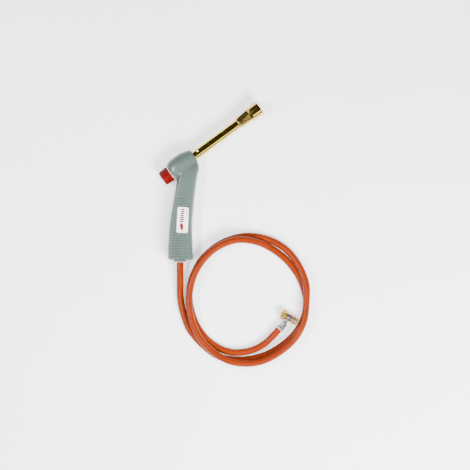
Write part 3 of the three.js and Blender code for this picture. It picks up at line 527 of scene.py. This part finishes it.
def hose_line(steps=8):
    """A centripetal Catmull-Rom curve through the route's points."""
    points = [Vector(p) for p in HOSE_ROUTE]
    points = [2 * points[0] - points[1], *points, 2 * points[-1] - points[-2]]
    line = []
    for p0, p1, p2, p3 in zip(points, points[1:], points[2:], points[3:]):
        d0, d1, d2 = (math.sqrt((b - a).length) for a, b in ((p0, p1), (p1, p2), (p2, p3)))
        leave = ((p1 - p0) / d0 - (p2 - p0) / (d0 + d1) + (p2 - p1) / d1) * d1
        arrive = ((p2 - p1) / d1 - (p3 - p1) / (d1 + d2) + (p3 - p2) / d2) * d1
        line += [hermite(k / steps, p1, leave, p2, arrive) for k in range(steps)]
    return [*line, points[-2]]


def add_hose():
    data = bpy.data.curves.new("hose_tube", "CURVE")
    data.dimensions = "3D"
    line = hose_line()
    spline = data.splines.new("POLY")
    spline.points.add(len(line) - 1)
    for point, place in zip(spline.points, line):
        point.co = (*place, 1)
    spline.use_smooth = True
    data.bevel_depth, data.bevel_resolution = HOSE_DIAMETER / 2, 8
    data.use_fill_caps = True
    return dress(new_object("hose_tube", data), "hose", "torch", "hose_rubber", "hose")


add_camera()
hose = add_hose()
add_world()
add_floor()
for light_row in LIGHTS:
    add_light(*light_row)

# ---------------------------------------------------------------- handle

WALL = 2.2
GRIP_ROWS = [  # sections from the foot up: Y, back edge, front edge, half thickness
    (-123.5, -69.3, -29.0, 15.0), (-98.8, -68.8, -30.0, 15.0), (-65.5, -66.1, -30.2, 15.0),
    (-33.3, -60.9, -27.4, 15.0), (-7.4, -56.6, -24.4, 15.0), (8.0, -53.6, -22.0, 14.7),
    (20.0, -50.0, -19.2, 13.2), (27.0, -46.0, -19.8, 10.5), (31.0, -42.0, -23.5, 7.0),
]
BACK_CORNER, FRONT_CORNER = 5.5, 7.5
BACK_DEPTH, FRONT_DEPTH = 0.6, 0.75  # the corners' reach through the thickness, as a share of half
GRIP_STEPS, HEAD_STEPS, FOOT_STEPS = 48, 40, 4
FOOT_BEVEL = 2.0
HEAD_OUTLINE = [  # shares of the head's radius and of its length
    (0.73, 0), (0.87, 0.075), (0.94, 0.15), (0.985, 0.237), (1, 0.366), (1, 0.474),
    (0.97, 0.603), (0.9, 0.744), (0.78, 0.884),
]
HEAD_RADIUS, HEAD_LENGTH, HEAD_MOUTH = 17.6, 46.4, 11.3
RIB_PITCH, RIB_WIDTH, RIB_DEPTH, RIB_COUNT, RIB_FOOT = 4.2, 1.4, 0.6, 23, 4.0
RIB_FROM_BACK, RIB_FROM_FRONT, RIB_RUN_OUT = 4.2, 3.5, 0.8
VOXEL = RIB_PITCH / 10
BLEND_REACH, BLEND_STEPS = 16.0, 400
PARTING = 0.15  # each half stops this far from the parting plane
BOSS_RADIUS, BOSS_FOOT = 4.4, 1.2
RECESS_RADIUS, RECESS_DEPTH, PILOT_RADIUS = 3.2, 9, 1.6
SPINDLE_MOUTH, FOOT_MOUTH = 3.5, 8.3  # radii of the holes behind the knob and at the grip's foot


def spline_point(values, share):
    """The point at a share of the way along a uniform Catmull-Rom curve."""
    spot = share * (len(values) - 1)
    i = min(int(spot), len(values) - 2)
    p1, p2 = values[i], values[i + 1]
    p0 = values[i - 1] if i > 0 else 2 * p1 - p2
    p3 = values[i + 2] if i + 2 < len(values) else 2 * p2 - p1
    return hermite(spot - i, p1, (p2 - p0) / 2, p2, (p3 - p1) / 2)


def grip_row(share):
    y, back, front, half = spline_point([np.array(row) for row in GRIP_ROWS], share)
    return y, back, front, min(half, HALF)


def grip_ring(row, inset, steps=10):
    y, back, front, half = row
    half -= inset
    at_front = (front - inset, 1, FRONT_CORNER, FRONT_DEPTH)
    at_back = (back + inset, -1, BACK_CORNER, BACK_DEPTH)
    corners = ((at_front, 1), (at_back, 1), (at_back, -1), (at_front, -1))
    ring = []
    for quarter, ((edge, side, corner, share), up) in enumerate(corners):
        across, deep = corner - inset, half * share
        for i in range(steps + 1):
            angle = (quarter + i / steps) * math.pi / 2
            x = edge - side * across + across * math.cos(angle)
            ring.append((x, y, HALF + up * (half - deep) + deep * math.sin(angle)))
    return ring


def grip_skin():
    foot = grip_row(0)
    rings = []
    for k in range(FOOT_STEPS + 1):  # the foot's edge is rolled over a quarter turn
        turn = k / FOOT_STEPS * math.pi / 2
        inset, drop = FOOT_BEVEL * 1.4 * (1 - math.sin(turn)), FOOT_BEVEL * math.cos(turn)
        rings.append(grip_ring((foot[0] - drop, *foot[1:]), inset))
    rings += [grip_ring(grip_row(i / GRIP_STEPS), 0) for i in range(1, GRIP_STEPS + 1)]
    points = [p for ring in rings for p in ring]
    return mesh_piece("grip_skin", points, capped_faces(len(rings), len(rings[0])))


def head_skin():
    outline = [Vector((HEAD_RADIUS * wide, HEAD_LENGTH * along)) for wide, along in HEAD_OUTLINE]
    sides = [spline_point(outline, i / HEAD_STEPS) for i in range(HEAD_STEPS + 1)]
    profile = [*sides, Vector((HEAD_MOUTH, HEAD_LENGTH))]
    squeeze = HALF / HEAD_RADIUS
    place = BURNER.matrix() @ Matrix.Diagonal((1, 1, squeeze, 1))
    return turned("head_skin", profile, place, 96)


def blend_weights(body, skins):
    """High where the grip's skin and the head's skin both lie close to a point."""
    trees = [BVHTree.FromObject(s, bpy.context.evaluated_depsgraph_get()) for s in skins]
    reach = BLEND_REACH * MM
    weights = []
    for vertex in body.data.vertices:
        far = max(tree.find_nearest(vertex.co)[3] for tree in trees)
        weights.append(max(0.0, 1 - far / reach))
    return weights


def handle_body():
    """The whole outside of the handle, the head flowing into the grip."""
    skins = [grip_skin(), head_skin()]
    joined = bmesh.new()
    for skin in skins:
        joined.from_mesh(skin.data)
    mesh = bpy.data.meshes.new("handle")
    joined.to_mesh(mesh)
    joined.free()
    body = new_object("handle", mesh)
    remesh = body.modifiers.new("skin", "REMESH")
    remesh.mode, remesh.voxel_size = "VOXEL", VOXEL * MM
    evaluated(body)
    group = body.vertex_groups.new(name="blend")
    for i, weight in enumerate(blend_weights(body, skins)):
        if weight > 0:
            group.add([i], weight, "REPLACE")
    soften = body.modifiers.new("blend", "SMOOTH")
    soften.factor, soften.iterations, soften.vertex_group = 0.5, BLEND_STEPS, "blend"
    even = body.modifiers.new("even", "SMOOTH")
    even.factor, even.iterations = 0.5, 3
    evaluated(body)
    for skin in skins:
        bpy.data.objects.remove(skin)
    return body


def sections_by_height(count=200):
    """Back and front edges of the grip at even heights, for looking up by Y."""
    rows = np.array([grip_row(i / (count - 1)) for i in range(count)])
    return rows[:, 0], rows[:, 1], rows[:, 2]


def press_ribs(body, side, label_y, label_half):
    """Sinks the grip grooves into one flank."""
    count = len(body.data.vertices)
    co = np.empty(count * 3)
    body.data.vertices.foreach_get("co", co)
    co = co.reshape(-1, 3) / MM
    heights, backs, fronts = sections_by_height()
    back = np.interp(co[:, 1], heights, backs) + RIB_FROM_BACK
    front = np.interp(co[:, 1], heights, fronts) - RIB_FROM_FRONT
    ends = np.minimum(co[:, 0] - back, front - co[:, 0])
    flank = side * (co[:, 2] - HALF) > HALF - 3
    row = (co[:, 1] - GRIP_ROWS[0][0] - RIB_FOOT) / RIB_PITCH
    nearest = np.clip(np.round(row), 0, RIB_COUNT - 1)
    away = np.abs(row - nearest) * RIB_PITCH
    depth = np.clip((RIB_WIDTH / 2 + 0.25 - away) / 0.5, 0, 1)
    depth *= np.clip(ends / RIB_RUN_OUT + 0.5, 0, 1)
    centre = GRIP_ROWS[0][0] + RIB_FOOT + nearest * RIB_PITCH
    if side < 0:  # a plain panel where the label is on the other flank
        depth[np.abs(centre - label_y) < label_half] = 0
    co[:, 2] -= np.where(flank, side * RIB_DEPTH * depth, 0)
    body.data.vertices.foreach_set("co", (co * MM).ravel())
    body.data.update()


def half_of(body, name, side):
    """One half of the handle, on its side of the parting plane, hollowed to a wall."""
    half = new_object(name, body.data.copy())
    sheet = bmesh.new()
    sheet.from_mesh(half.data)
    level = Vector((0, 0, (HALF + side * PARTING) * MM))
    everything = [*sheet.verts, *sheet.edges, *sheet.faces]
    bmesh.ops.bisect_plane(sheet, geom=everything, plane_co=level, plane_no=(0, 0, -side),
                           clear_outer=True)
    sheet.to_mesh(half.data)
    sheet.free()
    wall = half.modifiers.new("wall", "SOLIDIFY")
    wall.thickness, wall.offset = WALL * MM, -1
    return half


def rod(name, radius, start, end, place, segments=48):
    return turned(name, [(radius, start), (radius, end)], place, segments)


def merged(name, parts):
    """Several pieces as one mesh."""
    whole = bmesh.new()
    for part in parts:
        whole.from_mesh(part.data)
        bpy.data.objects.remove(part)
    mesh = bpy.data.meshes.new(name)
    whole.to_mesh(mesh)
    whole.free()
    return new_object(name, mesh)


def upright(x, y):
    """Turns a piece made about +X so that it stands along +Z at a point."""
    return Matrix.Translation((x, y, 0)) @ Matrix.Rotation(-math.pi / 2, 4, "Y")


def along_grip(x):
    """Turns a piece made about +X so that it lies along +Y on the hose's line."""
    return Matrix.Translation((x, 0, HALF)) @ Matrix.Rotation(math.pi / 2, 4, "Z")


def middle(node):
    low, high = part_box(node)
    return (low + high) / 2 / MM


SCREWS = [f"shell_screw_{i}" for i in range(1, 5)]
TUBE = Span("burner_tube", BURNER)
HOSE_LINE_X = middle("hose_gland").x
GLAND = Span("hose_gland", Axis((HOSE_LINE_X * MM, 0, HALF * MM), (0, 1, 0)))


def rounded_plate(name, width, height, corner, low, high, place, edge=0.0, steps=8):
    """A plate with round corners, drawn in by edge round its top."""

    def outline(inset):
        points = []
        for quarter, (sx, sy) in enumerate(((1, 1), (-1, 1), (-1, -1), (1, -1))):
            for i in range(steps + 1):
                angle = (quarter + i / steps) * math.pi / 2
                reach = corner - inset
                points.append((sx * (width / 2 - corner) + reach * math.cos(angle),
                               sy * (height / 2 - corner) + reach * math.sin(angle)))
        return points

    levels = [(0, low), (0, high)] if edge == 0 else [
        (0, low), (0, high - edge), (edge * 0.3, high - edge * 0.3), (edge, high)]
    points = [(x, y, z) for inset, z in levels for x, y in outline(inset)]
    faces = capped_faces(len(levels), 4 * (steps + 1))
    return mesh_piece(name, points, faces, place, smooth=False)


LABEL_WIDTH, LABEL_HEIGHT, LABEL_CORNER = 18.0, 41.0, 2.4
LABEL_LEAN = math.radians(-2.5)
LABEL = middle("label_plate")
LABEL_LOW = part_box("label_plate")[0].z / MM


def label_place():
    return Matrix.Translation((LABEL.x, LABEL.y, 0)) @ Matrix.Rotation(LABEL_LEAN, 4, "Z")


def shell_openings():
    """What is cut out of both halves of the handle."""
    return [
        rod("mouth", TUBE.radius + GAP, HEAD_LENGTH - 6, HEAD_LENGTH + 2, BURNER.matrix()),
        rod("seat", SPINDLE_MOUTH, -2, 4, BURNER.matrix()),
        rod("foot", FOOT_MOUTH, GLAND.start - 2, GLAND.start + 8, along_grip(HOSE_LINE_X)),
    ]


def add_handle():
    body = handle_body()
    for name, side in (("handle_half_lower", -1), ("handle_half_upper", 1)):
        shell = half_of(body, name, side)
        evaluated(shell)
        press_ribs(shell, side, LABEL.y, LABEL_HEIGHT / 2)
        cutters = shell_openings()
        if side > 0:
            wide, high = LABEL_WIDTH + 2 * GAP, LABEL_HEIGHT + 2 * GAP
            cutters.append(rounded_plate("pocket", wide, high, LABEL_CORNER, LABEL_LOW - GAP,
                                         2 * HALF + 2, label_place()))
        else:
            places = [upright(middle(s).x, middle(s).y) for s in SCREWS]
            bosses = [rod("boss", BOSS_RADIUS, BOSS_FOOT, HALF - PARTING, place)
                      for place in places]
            boolean(shell, merged("bosses", bosses), "UNION")
            for place in places:
                cutters.append(rod("recess", RECESS_RADIUS, -1, RECESS_DEPTH, place))
                cutters.append(rod("pilot", PILOT_RADIUS, RECESS_DEPTH - 1, HALF + 1, place, 24))
        boolean(shell, merged("cutters", cutters), "DIFFERENCE")
        shade_smooth(shell)
        node = name.replace("half", "shell")
        dress(shell, "grey", "torch", "grey_plastic", node)
    bpy.data.objects.remove(body)


add_handle()

# ---------------------------------------------------------------- knob and burner

KNOB = Span("valve_knob", BURNER)
WASHER = Span("knob_washer", BURNER)
SPINDLE = Span("valve_spindle", BURNER)
CUP = Span("burner_cup", BURNER)
DISC = Span("flame_stabiliser", BURNER)
KNOB_FLUTES, KNOB_FLUTE_DEPTH = 16, 0.7
SPINDLE_HOLE, HUB_WALL, KNOB_FLOOR = 3.3, 1.6, 3
TUBE_WALL, AIR_HOLE_RADIUS, AIR_HOLE_AHEAD = 1.0, 2.0, 8.6
AIR_HOLES, AIR_HOLE_LEAN = 3, math.radians(24)
CUP_FLATS, CUP_SHOULDER = 8.9, 12.9  # half across the flats; depth of the tube's socket
CUP_HEX_LENGTH = 22.5
CUP_HEX_TURN = math.radians(20)
CUP_WALL, SOCKET_STEP = 1.4, 1.6
DISC_HOLES, DISC_HOLE_RADIUS, DISC_HOLE_INSET, DISC_CENTRE_RADIUS = 8, 0.9, 2.2, 2.6


def dense(profile, step=0.6):
    """More points along the outline, so that a shape across it turns out fine."""
    out = []
    for a, b in zip(profile, profile[1:]):
        a, b = Vector(a), Vector(b)
        count = max(1, round((b - a).length / step))
        out += [a.lerp(b, k / count) for k in range(count)]
    return [*out, Vector(profile[-1])]


def add_knob():
    rim, face, base = KNOB.radius, KNOB.start, KNOB.end
    hub, floor = SPINDLE_HOLE + HUB_WALL, face + KNOB_FLOOR
    tip = SPINDLE.start - GAP

    def flutes(angle, radius, station):
        deep = min(1.0, max(0.0, (station - face) / 2.0)) if radius > rim - 2.1 else 0.0
        return radius - KNOB_FLUTE_DEPTH * deep * (0.5 - 0.5 * math.cos(angle * KNOB_FLUTES)) ** 1.5

    outside = rounded([(rim - 6.5, face + 0.25), (rim - 4.6, face), (rim - 2.0, face + 0.6),
                        (rim - 0.9, face + 2.4), (rim, base), (rim - 2.2, base)], 1.0)
    inside = [(rim - 3, floor), (hub, floor), (hub, base), (SPINDLE_HOLE, base),
              (SPINDLE_HOLE, tip), (0, tip)]
    profile = [(0, face + 0.25), *dense(outside), *inside]
    knob = turned("control_knob", profile, BURNER.matrix(), KNOB_FLUTES * 12, flutes)
    dress(knob, "red", "knob_and_spindle", "red_plastic", "valve_knob")
    crisp(knob, 0.1)


def ring_corners(bore, radius, start, end):
    return [(bore, start), (radius, start), (radius, end), (bore, end)]


def ring_piece(name, span, place, edge=0.12):
    """A plain ring or tube with rounded edges."""
    corners = ring_corners(span.bore, span.radius, span.start, span.end)
    return turned(name, rounded(corners, edge, 3, closed=True), place, closed=True)


def add_washer():
    dress(ring_piece("seat_washer", WASHER, BURNER.matrix()), "white", "torch", "white_plastic",
          "knob_washer")


def add_tube():
    outer, inner = TUBE.radius, TUBE.radius - TUBE_WALL
    corners = ring_corners(inner, outer, TUBE.start, TUBE.end)
    profile = dense(rounded(corners, 0.2, 3, closed=True), 4.0)
    tube = turned("mixing_tube", profile, BURNER.matrix(), 96, closed=True)
    station = HEAD_LENGTH + AIR_HOLE_AHEAD
    for i in range(AIR_HOLES):
        turn = Matrix.Rotation(2 * math.pi * i / AIR_HOLES - AIR_HOLE_LEAN, 4, "X")
        place = (BURNER.matrix() @ Matrix.Translation((station, 0, 0)) @ turn
                 @ Matrix.Rotation(-math.pi / 2, 4, "Y"))
        drill = rod("drill", AIR_HOLE_RADIUS, inner / 2, 2 * outer, place, 40)
        boolean(tube, drill, "DIFFERENCE")
    shade_smooth(tube)
    crisp(tube, 0.15)
    dress(tube, "tube", "torch", "burner_brass", "burner_tube")


def hex_reach(angle, half_flats, turned_by=0.0):
    """Distance from the axis to a hexagon's edge, with flats facing up and down before the turn."""
    sector = math.radians(60)
    return half_flats / math.cos((angle - turned_by) % sector - sector / 2)


def add_cup():
    start, end, mouth = CUP.start, CUP.end, CUP.radius
    bore, hex_end = mouth - CUP_WALL, start + CUP_HEX_LENGTH
    socket, socket_end = TUBE.radius + GAP, start + CUP_SHOULDER
    step, step_end = TUBE.radius - 1, socket_end + SOCKET_STEP
    cone = [(10.3, hex_end - 1), (mouth - 0.35, hex_end + 7), (mouth, end - 5), (mouth, end - 0.4)]

    def flats(angle, radius, station):
        if radius < CUP_FLATS - 0.5 or station > hex_end + 6:
            return radius
        run_out = max(0.0, station - hex_end) * 0.45
        return min(radius, hex_reach(angle, CUP_FLATS + run_out, CUP_HEX_TURN))

    outside = dense(rounded([(socket, start), (CUP_FLATS - 0.9, start),
                             (CUP_FLATS + 0.05, start + 1.0), *cone, (mouth - 0.4, end),
                             (bore + 0.3, end), (bore, end - 0.5)], 0.6), 0.5)
    inside = dense([(bore, end - 0.5), (bore, hex_end + 2), (bore - 1.2, hex_end - 1),
                    (bore - 1.2, step_end), (step, step_end), (step, socket_end),
                    (socket, socket_end)], 2.0)
    cup = turned("flame_cup", [*outside, *inside[1:]], BURNER.matrix(), 192, flats, closed=True)
    dress(cup, "cup", "torch", "burner_brass", "burner_cup")
    crisp(cup, 0.12)


def add_disc():
    disc = rod("flame_disc", DISC.radius, DISC.start, DISC.end, BURNER.matrix(), 72)
    low, high = DISC.start - 1, DISC.end + 1
    drills = [rod("drill", DISC_CENTRE_RADIUS, low, high, BURNER.matrix(), 40)]
    for i in range(DISC_HOLES):
        turn = Matrix.Rotation(2 * math.pi * i / DISC_HOLES, 4, "X")
        place = BURNER.matrix() @ turn @ Matrix.Translation((0, DISC.radius - DISC_HOLE_INSET, 0))
        drills.append(rod("drill", DISC_HOLE_RADIUS, low, high, place, 20))
    boolean(disc, merged("drills", drills), "DIFFERENCE")
    crisp(disc, 0.15)
    dress(disc, "inner", "torch", "brass", "flame_stabiliser")


add_knob()
add_washer()
add_tube()
add_cup()
add_disc()

# ---------------------------------------------------------------- label, screws and gland

MARK_HEIGHT = 0.05  # the mark stands this far out of the label, and reaches as far into it
SCREW_CORE, SCREW_CREST, SCREW_PITCH = 1.0, 1.3, 1.0
CROSS_REACH, CROSS_HALF_WIDTH = 1.8, 0.3


def flat_shapes(name, outlines, low, high, place):
    """Thin plates from closed outlines, as one piece."""
    plates = []
    for outline in outlines:
        count = len(outline)
        points = [(x, y, z) for z in (low, high) for x, y in outline]
        plates.append(mesh_piece("plate", points, capped_faces(2, count), place, smooth=False))
    return merged(name, plates)


def drop_outline(x, y, width, length):
    """A flame-like drop with its point at the low end, leaning a little."""
    outline = []
    for i in range(48):
        turn = 2 * math.pi * i / 48
        along = 0.5 - 0.5 * math.cos(turn)
        reach = width / 2 * math.sin(turn) * math.sin(turn / 2) ** 0.8
        outline.append((x + reach + width * 0.22 * (1 - along), y - length * (1 - along)))
    return outline


def bar_outline(x, y, width, height, slant=0.25):
    lean = height * slant
    return [(x - width / 2, y), (x + width / 2, y), (x + width / 2 + lean, y + height),
            (x - width / 2 + lean, y + height)]


def add_label():
    low, high = LABEL_LOW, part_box("label_plate")[1].z / MM
    plate = rounded_plate("label_badge", LABEL_WIDTH, LABEL_HEIGHT, LABEL_CORNER, low, high,
                          label_place(), edge=0.25)
    dress(plate, "white", "torch", "white_plastic", "label_plate")
    shapes = [drop_outline(-1.8, -5.0, 7.0, 13.0)]
    shapes += [bar_outline(-1.6 + 0.15 * i, -3.6 + 3.2 * i, 6.4 - 0.3 * i, 2.3) for i in range(7)]
    shapes += [bar_outline(5.2, 3.0 + 2.0 * i, 1.6, 1.1, 0) for i in range(7)]
    mark = flat_shapes("label_mark", shapes, high - MARK_HEIGHT, high + MARK_HEIGHT, label_place())
    dress(mark, "ink", "torch", "red_plastic")


def mesh_box(name, low, high, place):
    corners = [(x, y, z) for x in (low[0], high[0]) for y in (low[1], high[1])
               for z in (low[2], high[2])]
    faces = [(0, 1, 3, 2), (4, 6, 7, 5), (0, 4, 5, 1), (2, 3, 7, 6), (0, 2, 6, 4), (1, 5, 7, 3)]
    return mesh_piece(name, corners, faces, place, smooth=False)


def add_screws():
    for name in SCREWS:
        low, high = (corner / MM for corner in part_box(name))
        radius = (high.x - low.x) / 2
        place = upright(middle(name).x, middle(name).y)
        head = [(0, low.z), (radius * 0.75, low.z), (radius, low.z + 0.7), (radius, low.z + 2),
                (SCREW_CREST, low.z + 2.1)]
        thread = []
        station = low.z + 3
        while station < high.z - 1.2:
            thread += [(SCREW_CORE, station), (SCREW_CREST, station + SCREW_PITCH / 2)]
            station += SCREW_PITCH
        profile = [*head, *thread, (SCREW_CORE, high.z - 1), (0, high.z)]
        screw = turned(name + "_driven", profile, place, 32)
        cross = (CROSS_REACH, CROSS_HALF_WIDTH)
        for wide, tall in (cross, cross[::-1]):  # cut one after the other, since they cross
            slot = mesh_box("slot", (low.z - 0.2, -wide, -tall), (low.z + 1, wide, tall), place)
            boolean(screw, slot, "DIFFERENCE")
        dress(screw, "steel", "torch", "steel", name)


def add_gland():
    start, end, wide, inner = GLAND.start, GLAND.end, GLAND.radius, GLAND.bore
    foot = GRIP_ROWS[0][0] - FOOT_BEVEL
    neck = inner + 2.2
    seat, ledge = foot - GAP, foot + 2.8
    corners = [(inner, start), (wide * 0.86, start), (wide, start + 1.4), (wide, seat), (neck,
                seat),
               (neck, ledge), (neck + 1.5, ledge), (neck + 0.5, end), (inner, end)]
    gland = turned("hose_guard", dense(rounded(corners, 0.5, 3, closed=True), 1.0),
                   along_grip(HOSE_LINE_X), 96, closed=True)
    dress(gland, "gland", "torch", "grey_plastic", "hose_gland")


add_label()
add_screws()
add_gland()

# ---------------------------------------------------------------- hose fitting

TAIL_TURN = math.radians(-102)  # from the bolt's direction to the hose's
TAIL_AXIS = Axis(FITTING.point * MM, Matrix.Rotation(TAIL_TURN, 3, "Z") @ FITTING.ahead)
NUT = Span("union_nut", FITTING)
BOLT = Span("banjo_bolt", FITTING)
FERRULE = Span("hose_ferrule", TAIL_AXIS)
TAIL = Span("banjo_tail", TAIL_AXIS)
WASHER_THICKNESS, EYE_HALF = 0.8, 2.6
BOLT_SHANK, STEM_RADIUS, STEM_BORE = 3.0, 2.7, 1.5
BOLT_WAY_END, WAY_RADIUS, PORT_RADIUS = 1.5, 1.3, 1.1  # the gas way up the bolt and its side port
EYE_RADIUS = BOLT_SHANK + GAP + 3.1
NIPPLE_NECK = BOLT_SHANK + 1.3
NUT_BORE = BOLT_SHANK + 3.0
NUT_FLATS = NUT_BORE + 1.2
THREAD_PITCH, THREAD_DEPTH = 1.0, 0.15


def add_ferrule():
    """A pressed sleeve with two crimped grooves and a rolled lip at the hose's side."""
    start, end, wide, bore = FERRULE.start, FERRULE.end, FERRULE.radius, FERRULE.bore
    body = wide - 0.4
    outside = [(bore, start), (body - 0.8, start), (body, start + 1.0), (body, start + 2.6)]
    for crimp in (start + 3.6, start + 6.6):
        outside += [(body - 0.45, crimp), (body - 0.45, crimp + 1.1), (body, crimp + 1.9)]
    outside += [(body, end - 3.0), (wide, end - 2.4), (wide, end - 0.4), (body, end), (bore, end)]
    profile = rounded(outside, 0.4, 3, closed=True)
    sleeve = turned("hose_sleeve", profile, TAIL_AXIS.matrix(), 72, closed=True)
    dress(sleeve, "steel", "torch", "steel", "hose_ferrule")


def add_tail():
    """The eye round the bolt and the stem that the hose is crimped to."""
    eye_hole = BOLT_SHANK + GAP
    root = eye_hole + 0.8
    corners = ring_corners(eye_hole, EYE_RADIUS, -EYE_HALF, EYE_HALF)
    eye = turned("eye", rounded(corners, 0.5, 4, closed=True), FITTING.matrix(), 72, closed=True)
    thin, end = STEM_RADIUS, TAIL.end
    collar, seat = thin + 0.9, FERRULE.start - GAP
    profile = rounded([(STEM_BORE, root), (thin, root), (thin, seat - 2.7), (collar, seat - 1.7),
                       (collar, seat), (thin, seat), (thin, end), (STEM_BORE, end)], 0.35, 3,
                      closed=True)
    stem = turned("stem", profile, TAIL_AXIS.matrix(), 48, closed=True)
    tail = boolean(eye, stem, "UNION")
    tail.name = "hose_tail"
    for side in (-1, 1):  # trims what the stem leaves outside the eye's flat faces
        low, high = sorted((side * EYE_HALF, side * 2.5 * EYE_HALF))
        boolean(tail, rod("facing", EYE_RADIUS, low, high, FITTING.matrix()), "DIFFERENCE")
    shade_smooth(tail)
    crisp(tail, 0.12)
    dress(tail, "steel", "torch", "steel", "banjo_tail")


def add_fitting_washers():
    for side in ("nut", "head"):
        node = f"banjo_washer_{side}_side"
        ring = ring_piece(f"copper_washer_{side}", Span(node, FITTING), FITTING.matrix(), 0.15)
        dress(ring, "copper", "torch", "copper", node)


def add_bolt():
    under, end, wide = EYE_HALF + 2 * GAP + WASHER_THICKNESS, BOLT.end, BOLT.radius
    groove, dip = end - 3.4, wide - 0.7
    outside = [(BOLT_SHANK, BOLT.start), (BOLT_SHANK, under), (wide - 0.3, under),
               (wide, under + 0.4), (wide, groove), (dip, groove + 0.35),
               (dip, groove + 0.95), (wide, groove + 1.3), (wide, end - 0.9),
               (wide - 0.9, end), (wide * 0.45, end)]
    inside = [(wide * 0.4, end - 0.6), (0, end - 0.6)]
    way = [(0, BOLT_WAY_END), (WAY_RADIUS, BOLT_WAY_END), (WAY_RADIUS, BOLT.start)]
    profile = [*way, *rounded(outside, 0.3, 3), *inside]
    bolt = turned("hollow_bolt", profile, FITTING.matrix(), 72)
    across = FITTING.matrix() @ Matrix.Rotation(math.pi / 2, 4, "Z")
    port = rod("port", PORT_RADIUS, -4, 4, across, 24)
    boolean(bolt, port, "DIFFERENCE")
    shade_smooth(bolt)
    crisp(bolt, 0.1)
    dress(bolt, "bolt", "torch", "brass", "banjo_bolt")


def add_nipple():
    span = Span("swivel_nipple", FITTING)
    shoulder, nose = span.end, span.start
    neck, flange = NIPPLE_NECK, BOLT_SHANK + 2.7
    socket, floor = BOLT_SHANK + GAP, BOLT.start - GAP
    rear = nose + 2
    corners = [(WAY_RADIUS, nose), (neck - 0.8, nose), (flange, rear - 0.8), (flange, rear),
               (neck, rear),
               (neck, shoulder - 1.2), (span.radius, shoulder - 1.2), (span.radius, shoulder),
               (socket, shoulder), (socket, floor), (WAY_RADIUS, floor)]
    nipple = turned("ball_nipple", rounded(corners, 0.2, 3, closed=True), FITTING.matrix(), 64,
                    closed=True)
    dress(nipple, "fitting", "torch", "brass", "swivel_nipple")


def add_retaining_ring():
    ring = ring_piece("retaining_ring", Span("nut_retaining_ring", FITTING), FITTING.matrix())
    dress(ring, "steel", "torch", "steel", "nut_retaining_ring")


def add_nut():
    mouth, rear = NUT.start, NUT.end
    corner = NUT_FLATS / math.cos(math.radians(30))
    bore, lip = NUT_BORE, NIPPLE_NECK + GAP

    def shape(angle, radius, station):
        return min(radius, hex_reach(angle, NUT_FLATS)) if radius > bore + 0.2 else radius

    outside = dense([(corner - 1.5, mouth), (corner, mouth + 1.4), (corner, rear - 0.7),
                     (corner - 0.9, rear)], 0.12)
    threads = []
    station = rear - 2.4
    while station > mouth + 1.2:
        threads += [(bore, station), (bore, station - THREAD_PITCH / 2),
                    (bore + THREAD_DEPTH, station - 0.75 * THREAD_PITCH)]
        station -= THREAD_PITCH
    inside = [(lip, rear), (lip, rear - 1.5), (bore, rear - 1.5), *threads, (bore, mouth + 0.4),
              (bore + THREAD_DEPTH, mouth)]
    nut = turned("swivel_nut", [*outside, *inside], FITTING.matrix(), 180, shape, closed=True)
    crisp(nut, 0.1)
    dress(nut, "fitting", "nut", "brass", "union_nut")


add_ferrule()
add_tail()
add_fitting_washers()
add_bolt()
add_nipple()
add_retaining_ring()
add_nut()

# ---------------------------------------------------------------- finishes on the CAD nodes left

INNER = {  # the finish for each material slot of the record
    "brass": "inner", "steel": "steel", "copper": "copper", "hose_rubber": "hose",
    "black_rubber": "black",
}


def dress_cad_nodes():
    """Gives a finish to every CAD node that no finer piece stands for."""
    slots = {row["node"]: row["material_slot"] for row in frame["record"]["subparts"]}
    for name, node in frame["nodes"].items():
        if node.hide_render:
            continue
        node.data.materials.clear()
        node.data.materials.append(MATERIALS[INNER[slots[name]]])
        crisp(node)


dress_cad_nodes()
